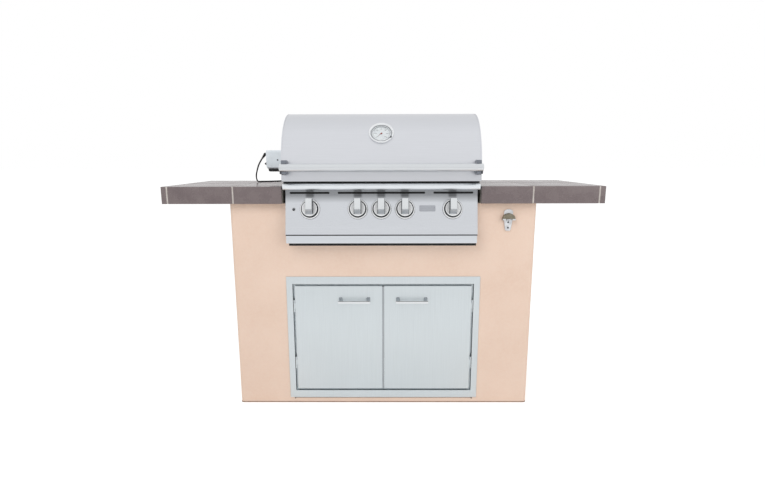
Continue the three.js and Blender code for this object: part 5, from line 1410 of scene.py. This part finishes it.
def screw_at(place, axis, radius, height):
    """A pan head with a cross slot, on a face whose normal is the axis."""
    half, reach, floor, top = radius * 0.13, radius * 0.6, height * 0.45, height * 2
    dome = [(0, 0), (radius, 0), (radius, height * 0.35), (radius * 0.85, height * 0.75)]
    head = lathe_form([*dome, (radius * 0.5, height), (0, height)], sides=32)
    bars = [box_form((-u, -v, floor), (u, v, top), 0) for u, v in ((reach, half), (half, reach))]
    return moved(cut(head, *bars), frame_at(place, axis))


def motor():
    low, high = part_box("motor_housing")
    x0, x1, (_, y0, z0), (_, y1, z1) = low.x + MOTOR_END_INSET, high.x, low, high
    shell = prism_form(rounded_outline(y0, y1, z0, z1, 0.0085), x0, x1, along_x, 0.003, 4)
    cx, cz = CHAMFER
    wedge = [(x0 - cx, z0 + cz * 2), (x0 + cx * 2, z0 - cz), (x0 - cx, z0 - cz)]
    chamfer = prism_form(wedge, y0 - OVERRUN, y1 + OVERRUN, along_y)
    s, a, b = SEAM_WIDTH, x0 + SEAM_REACH, x0 + SEAM_REACH + SEAM_WIDTH
    ring = box_form((a, y0 - OVERRUN, z0 - OVERRUN), (b, y1 + OVERRUN, z1 + OVERRUN), 0)
    core = rounded_outline(y0 + s, y1 - s, z0 + s, z1 - s, 0.0078)
    core = prism_form(core, a - OVERRUN, a + OVERRUN, along_x)
    vents = []
    for row in range(VENT_ROWS):
        z = z0 + VENT_PLACE + row * VENT_PITCH
        ends = ((x0 + VENT_NEAR, y1 - VENT_DEPTH, z), (x1 - VENT_FAR, y1 + OVERRUN, z + VENT_HEIGHT))
        vents.append(box_form(*ends))
    low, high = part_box("motor_switch")
    _, y, z = middle_of("motor_switch")
    reach = (high.z - low.z) / 2 + BUTTON_PLAY
    bore = rod_form((x0 - OVERRUN, y, z), (x0 + BUTTON_ROOT * 2, y, z), reach, 40, 0)
    form = cut(cut(shell, chamfer), cut(ring, core), bore, *vents)
    piece("motor_case", form, "motor_paint", ["motor_housing"], sharp=25)

    sink, inset = 0.0002, 0.012
    place = ((x0 + x1) / 2 + 0.006, y0 + sink, (z0 + z1) / 2 - 0.002)
    screws = [screw_at(place, (0, -1, 0), 0.0036, 0.0018)]
    for sy in (y0 + inset, y1 - inset):
        for sz in (z0 + inset * 2, z1 - inset):
            screws.append(screw_at((x0 + sink, sy, sz), (-1, 0, 0), 0.0028, 0.0015))
    piece("motor_screws", screws, "screw_metal")
    motor_mount()

    radius = (high.y - low.y) / 2
    plunger = rod_form((x0 + BUTTON_ROOT, y, z), (x0 - BUTTON_REACH, y, z), radius, 40, 0.0012)
    piece("start_button", plunger, "black_plastic", ["motor_switch"], "toggle")
    bore, outer = radius + BUTTON_PLAY, radius + 0.0030
    collar = [(bore, -0.0004), (bore, 0.0052), (radius + 0.0011, 0.0058), (radius + 0.0022, 0.0054)]
    collar = lathe_form([*collar, (outer, 0.0034), (outer, -0.0004)], frame_at((x0, y, z), (-1, 0, 0)), 40)
    piece("start_collar", collar, "black_plastic")


def motor_mount():
    (x0, y0, z0), (x1, y1, z1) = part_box("motor_base")
    x0 += FOOT_INSET
    foot = prism_form(rounded_outline(x0, x1, z0, z1 + 0.006, 0.0078), y0, y1, along_y, 0.0015, 3)
    foot = cut(foot, box_form((x0 - 1, y0 - 1, z1), (x1 + 1, y1 + 1, z1 + 1), 0))
    piece("motor_foot", foot, "black_plastic", ["motor_base"])
    low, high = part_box("motor_bracket")
    _, y, z = pivot("spit_turn")
    hole = rod_form((low.x - OVERRUN, y, z), (high.x + OVERRUN, y, z), 0.0072, 48, 0)
    plate = cut(box_form(low, high, 0.0006), hole)
    piece("motor_plate", plate, "steel_brushed_upright", stands_for=["motor_bracket"])


def cord_gland(exit_point):
    """The angled strain relief: a foot on the motor, an elbow, and a ribbed taper to the cord."""
    low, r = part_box("motor_housing")[0], GLAND_RADIUS
    start = Vector((low.x - SEAT, pivot("spit_turn").y, low.z + GLAND_LIFT))
    elbow = start - Vector((GLAND_SEAT, 0, 0))
    root = start + Vector((MOTOR_END_INSET + 0.003, 0, 0))
    ball = bmesh.new()
    bmesh.ops.create_uvsphere(ball, u_segments=40, v_segments=20, radius=r)
    limit = box_form((start.x, elbow.y - 1, elbow.z - 1), (start.x + 1, elbow.y + 1, elbow.z + 1), 0)
    forms = [rod_form(root, elbow, r, 40, 0.0004), cut(moved(ball, Matrix.Translation(elbow)), limit)]
    length, tip, ribs, sink = (exit_point - elbow).length, CORD_DIAMETER / 2 + 0.0006, 6, 0.0007
    profile = [(0, 0)]
    for i in range(ribs):
        for share, drop in ((0.02, 0), (0.62, 0), (0.68, sink), (0.96, sink)):
            t = (i + share) / ribs
            profile.append((r + (tip - r) * t - drop, length * t))
    profile += [(tip - 0.0002, length), (0, length)]
    forms.append(lathe_form(profile, frame_at(elbow, exit_point - elbow), 40))
    piece("cord_relief", forms, "black_plastic", ["cord_gland"])


# Bottle opener: a cast plate with a hooded mouth, screwed to the wall
def bottle_opener():
    low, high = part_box("bottle_opener")
    x, wall, top, foot = middle_of("bottle_opener").x, high.y, high.z, low.z
    wide, narrow = 0.019, 0.0125
    side = [(narrow, foot + 0.005), (wide, foot + 0.052), (wide, top - 0.010), (wide * 0.72, top - 0.003)]
    right = [(narrow - 0.004, foot), *side, (0.004, top)]
    outline = [(x + u, z) for u, z in right] + [(x - u, z) for u, z in reversed(right)]
    sheet, spring = 0.0042, 0.008
    plate = prism_form(outline, wall - sheet, wall, along_y, 0.0012, 3)
    crown, mouth, reach, bite_half = top - 0.017, top - 0.045, 0.028, 0.0125
    bow = arc(x, mouth + spring, reach - 0.002, crown - mouth - spring, 0.5, -0.5, 16)
    bow = [(x - reach, mouth), *bow, (x + reach, mouth)]
    visor = prism_form(bow, low.y, wall - 0.001, along_y, 0.0025, 4)
    inner = []
    for u, z in bow:
        inner.append((x + (u - x) * 0.84, mouth - OVERRUN if z <= mouth else mouth + (z - mouth) * 0.78))
    hollow = prism_form(inner, low.y + 0.0038, wall - 0.0036, along_y)
    bite = rounded_outline(x - bite_half, x + bite_half, mouth - OVERRUN, mouth + 0.0065, 0.0045)
    bite = prism_form(bite, low.y - OVERRUN, low.y + 0.006, along_y)
    forms = [plate]
    for sign in (-1, 1):
        a, b = sorted((x + sign * 0.0135, x + sign * (reach - 0.001)))
        lip = ((a, low.y - 0.0008, mouth - 0.0004), (b, low.y + 0.003, mouth + 0.006))
        forms.append(box_form(*lip, 0.0008, 3))
    tooth = [(wall - 0.003, mouth - 0.004), (low.y + 0.007, mouth + 0.001), (low.y + 0.006, mouth + 0.004)]
    forms.append(prism_form([*tooth, (wall - 0.003, mouth + 0.006)], x - 0.008, x + 0.008, along_x, 0.0006))
    piece("opener_body", forms, "cast_metal", ["bottle_opener"], sharp=40)
    # The visor's darker cast metal is painted shade.
    piece("opener_visor", cut(cut(visor, hollow), bite), "cast_recess", sharp=40)
    places = [(x, wall - 0.0041, foot + lift) for lift in (0.013, 0.036)]
    screws = [screw_at(place, (0, -1, 0), 0.0038, 0.0018) for place in places]
    piece("opener_screws", screws, "screw_metal")


# Stage: a pale floor that shows white to the camera and in gloss, a plain world and two lamps
FLOOR_TONE, FLOOR_SEEN, FLOOR_MIRRORED, FLOOR_HALF = (0.9, 0.9, 0.9), 0.45, 0.18, 60
WORLD_LIGHT, WORLD_SEEN = 0.66, 1.0
WHITE = (1, 1, 1)


def make_floor():
    look = Look("floor_white", FLOOR_TONE, 0.9)
    rays = look.node("LightPath").outputs
    seen = look.node("Math", {0: rays["Is Camera Ray"], 1: FLOOR_SEEN}, operation="MULTIPLY").outputs[0]
    glow = {0: rays["Is Glossy Ray"], 1: FLOOR_MIRRORED, 2: seen}
    glow = look.node("Math", glow, operation="MULTIPLY_ADD").outputs[0]
    look.set({"Emission Color": WHITE, "Emission Strength": glow})
    form = bmesh.new()
    corners = ((-1, -1), (1, -1), (1, 1), (-1, 1))
    form.faces.new([form.verts.new((x * FLOOR_HALF, y * FLOOR_HALF, 0)) for x, y in corners])
    mesh = bpy.data.meshes.new("floor")
    form.to_mesh(mesh)
    mesh.materials.append(look.material)
    added("floor", mesh)


def make_world():
    world = bpy.data.worlds.new("studio")
    bpy.context.scene.world = world
    world.use_nodes = True
    tree = world.node_tree
    tree.nodes.clear()
    rays = add_node(tree, "LightPath").outputs
    shown = rays["Is Camera Ray"]
    for ray in ("Is Glossy Ray", "Is Transmission Ray"):
        shown = add_node(tree, "Math", {0: shown, 1: rays[ray]}, operation="MAXIMUM").outputs[0]
    backs = [add_node(tree, "Background", {"Color": WHITE, "Strength": s}) for s in (WORLD_LIGHT, WORLD_SEEN)]
    mix = add_node(tree, "MixShader", {0: shown, 1: backs[0].outputs[0], 2: backs[1].outputs[0]})
    add_node(tree, "OutputWorld", {"Surface": mix.outputs[0]})


def soft_lamp(name, place, target, power, size=2.4):
    data = bpy.data.lights.new(name, "AREA")
    data.shape = "RECTANGLE"
    data.size = data.size_y = size
    data.energy = power
    lamp = added(name, data)
    lamp.matrix_world = frame_at(place, Vector(place) - Vector(target))
    lamp.visible_glossy = False


bpy.context.scene.view_settings.view_transform = "Standard"
make_camera()
make_looks()
dress_nodes()
make_cord()
stucco_shell()
counter()
door_surround()
door("left")
door("right")
door_seal()
opening_shade_strip()
flange_bead()
control_panel()
knob_bezels()
knobs()
light_button()
badge_plate()
front_shelf()
drip_tray()
cutout_shade_liner()
panel_fold_shade()
hood_gap_shade()
base_screed()
grates()
burners()
heat_plates()
warming_rack()
rear_screen()
hood()
hood_handle()
thermometer()
motor()
bottle_opener()
make_floor()
make_world()
soft_lamp("key", (-1.4, -3.0, 3.6), (0, 0, 0.7), 48)
soft_lamp("fill", (2.6, -2.8, 1.8), (0, 0, 0.6), 24)
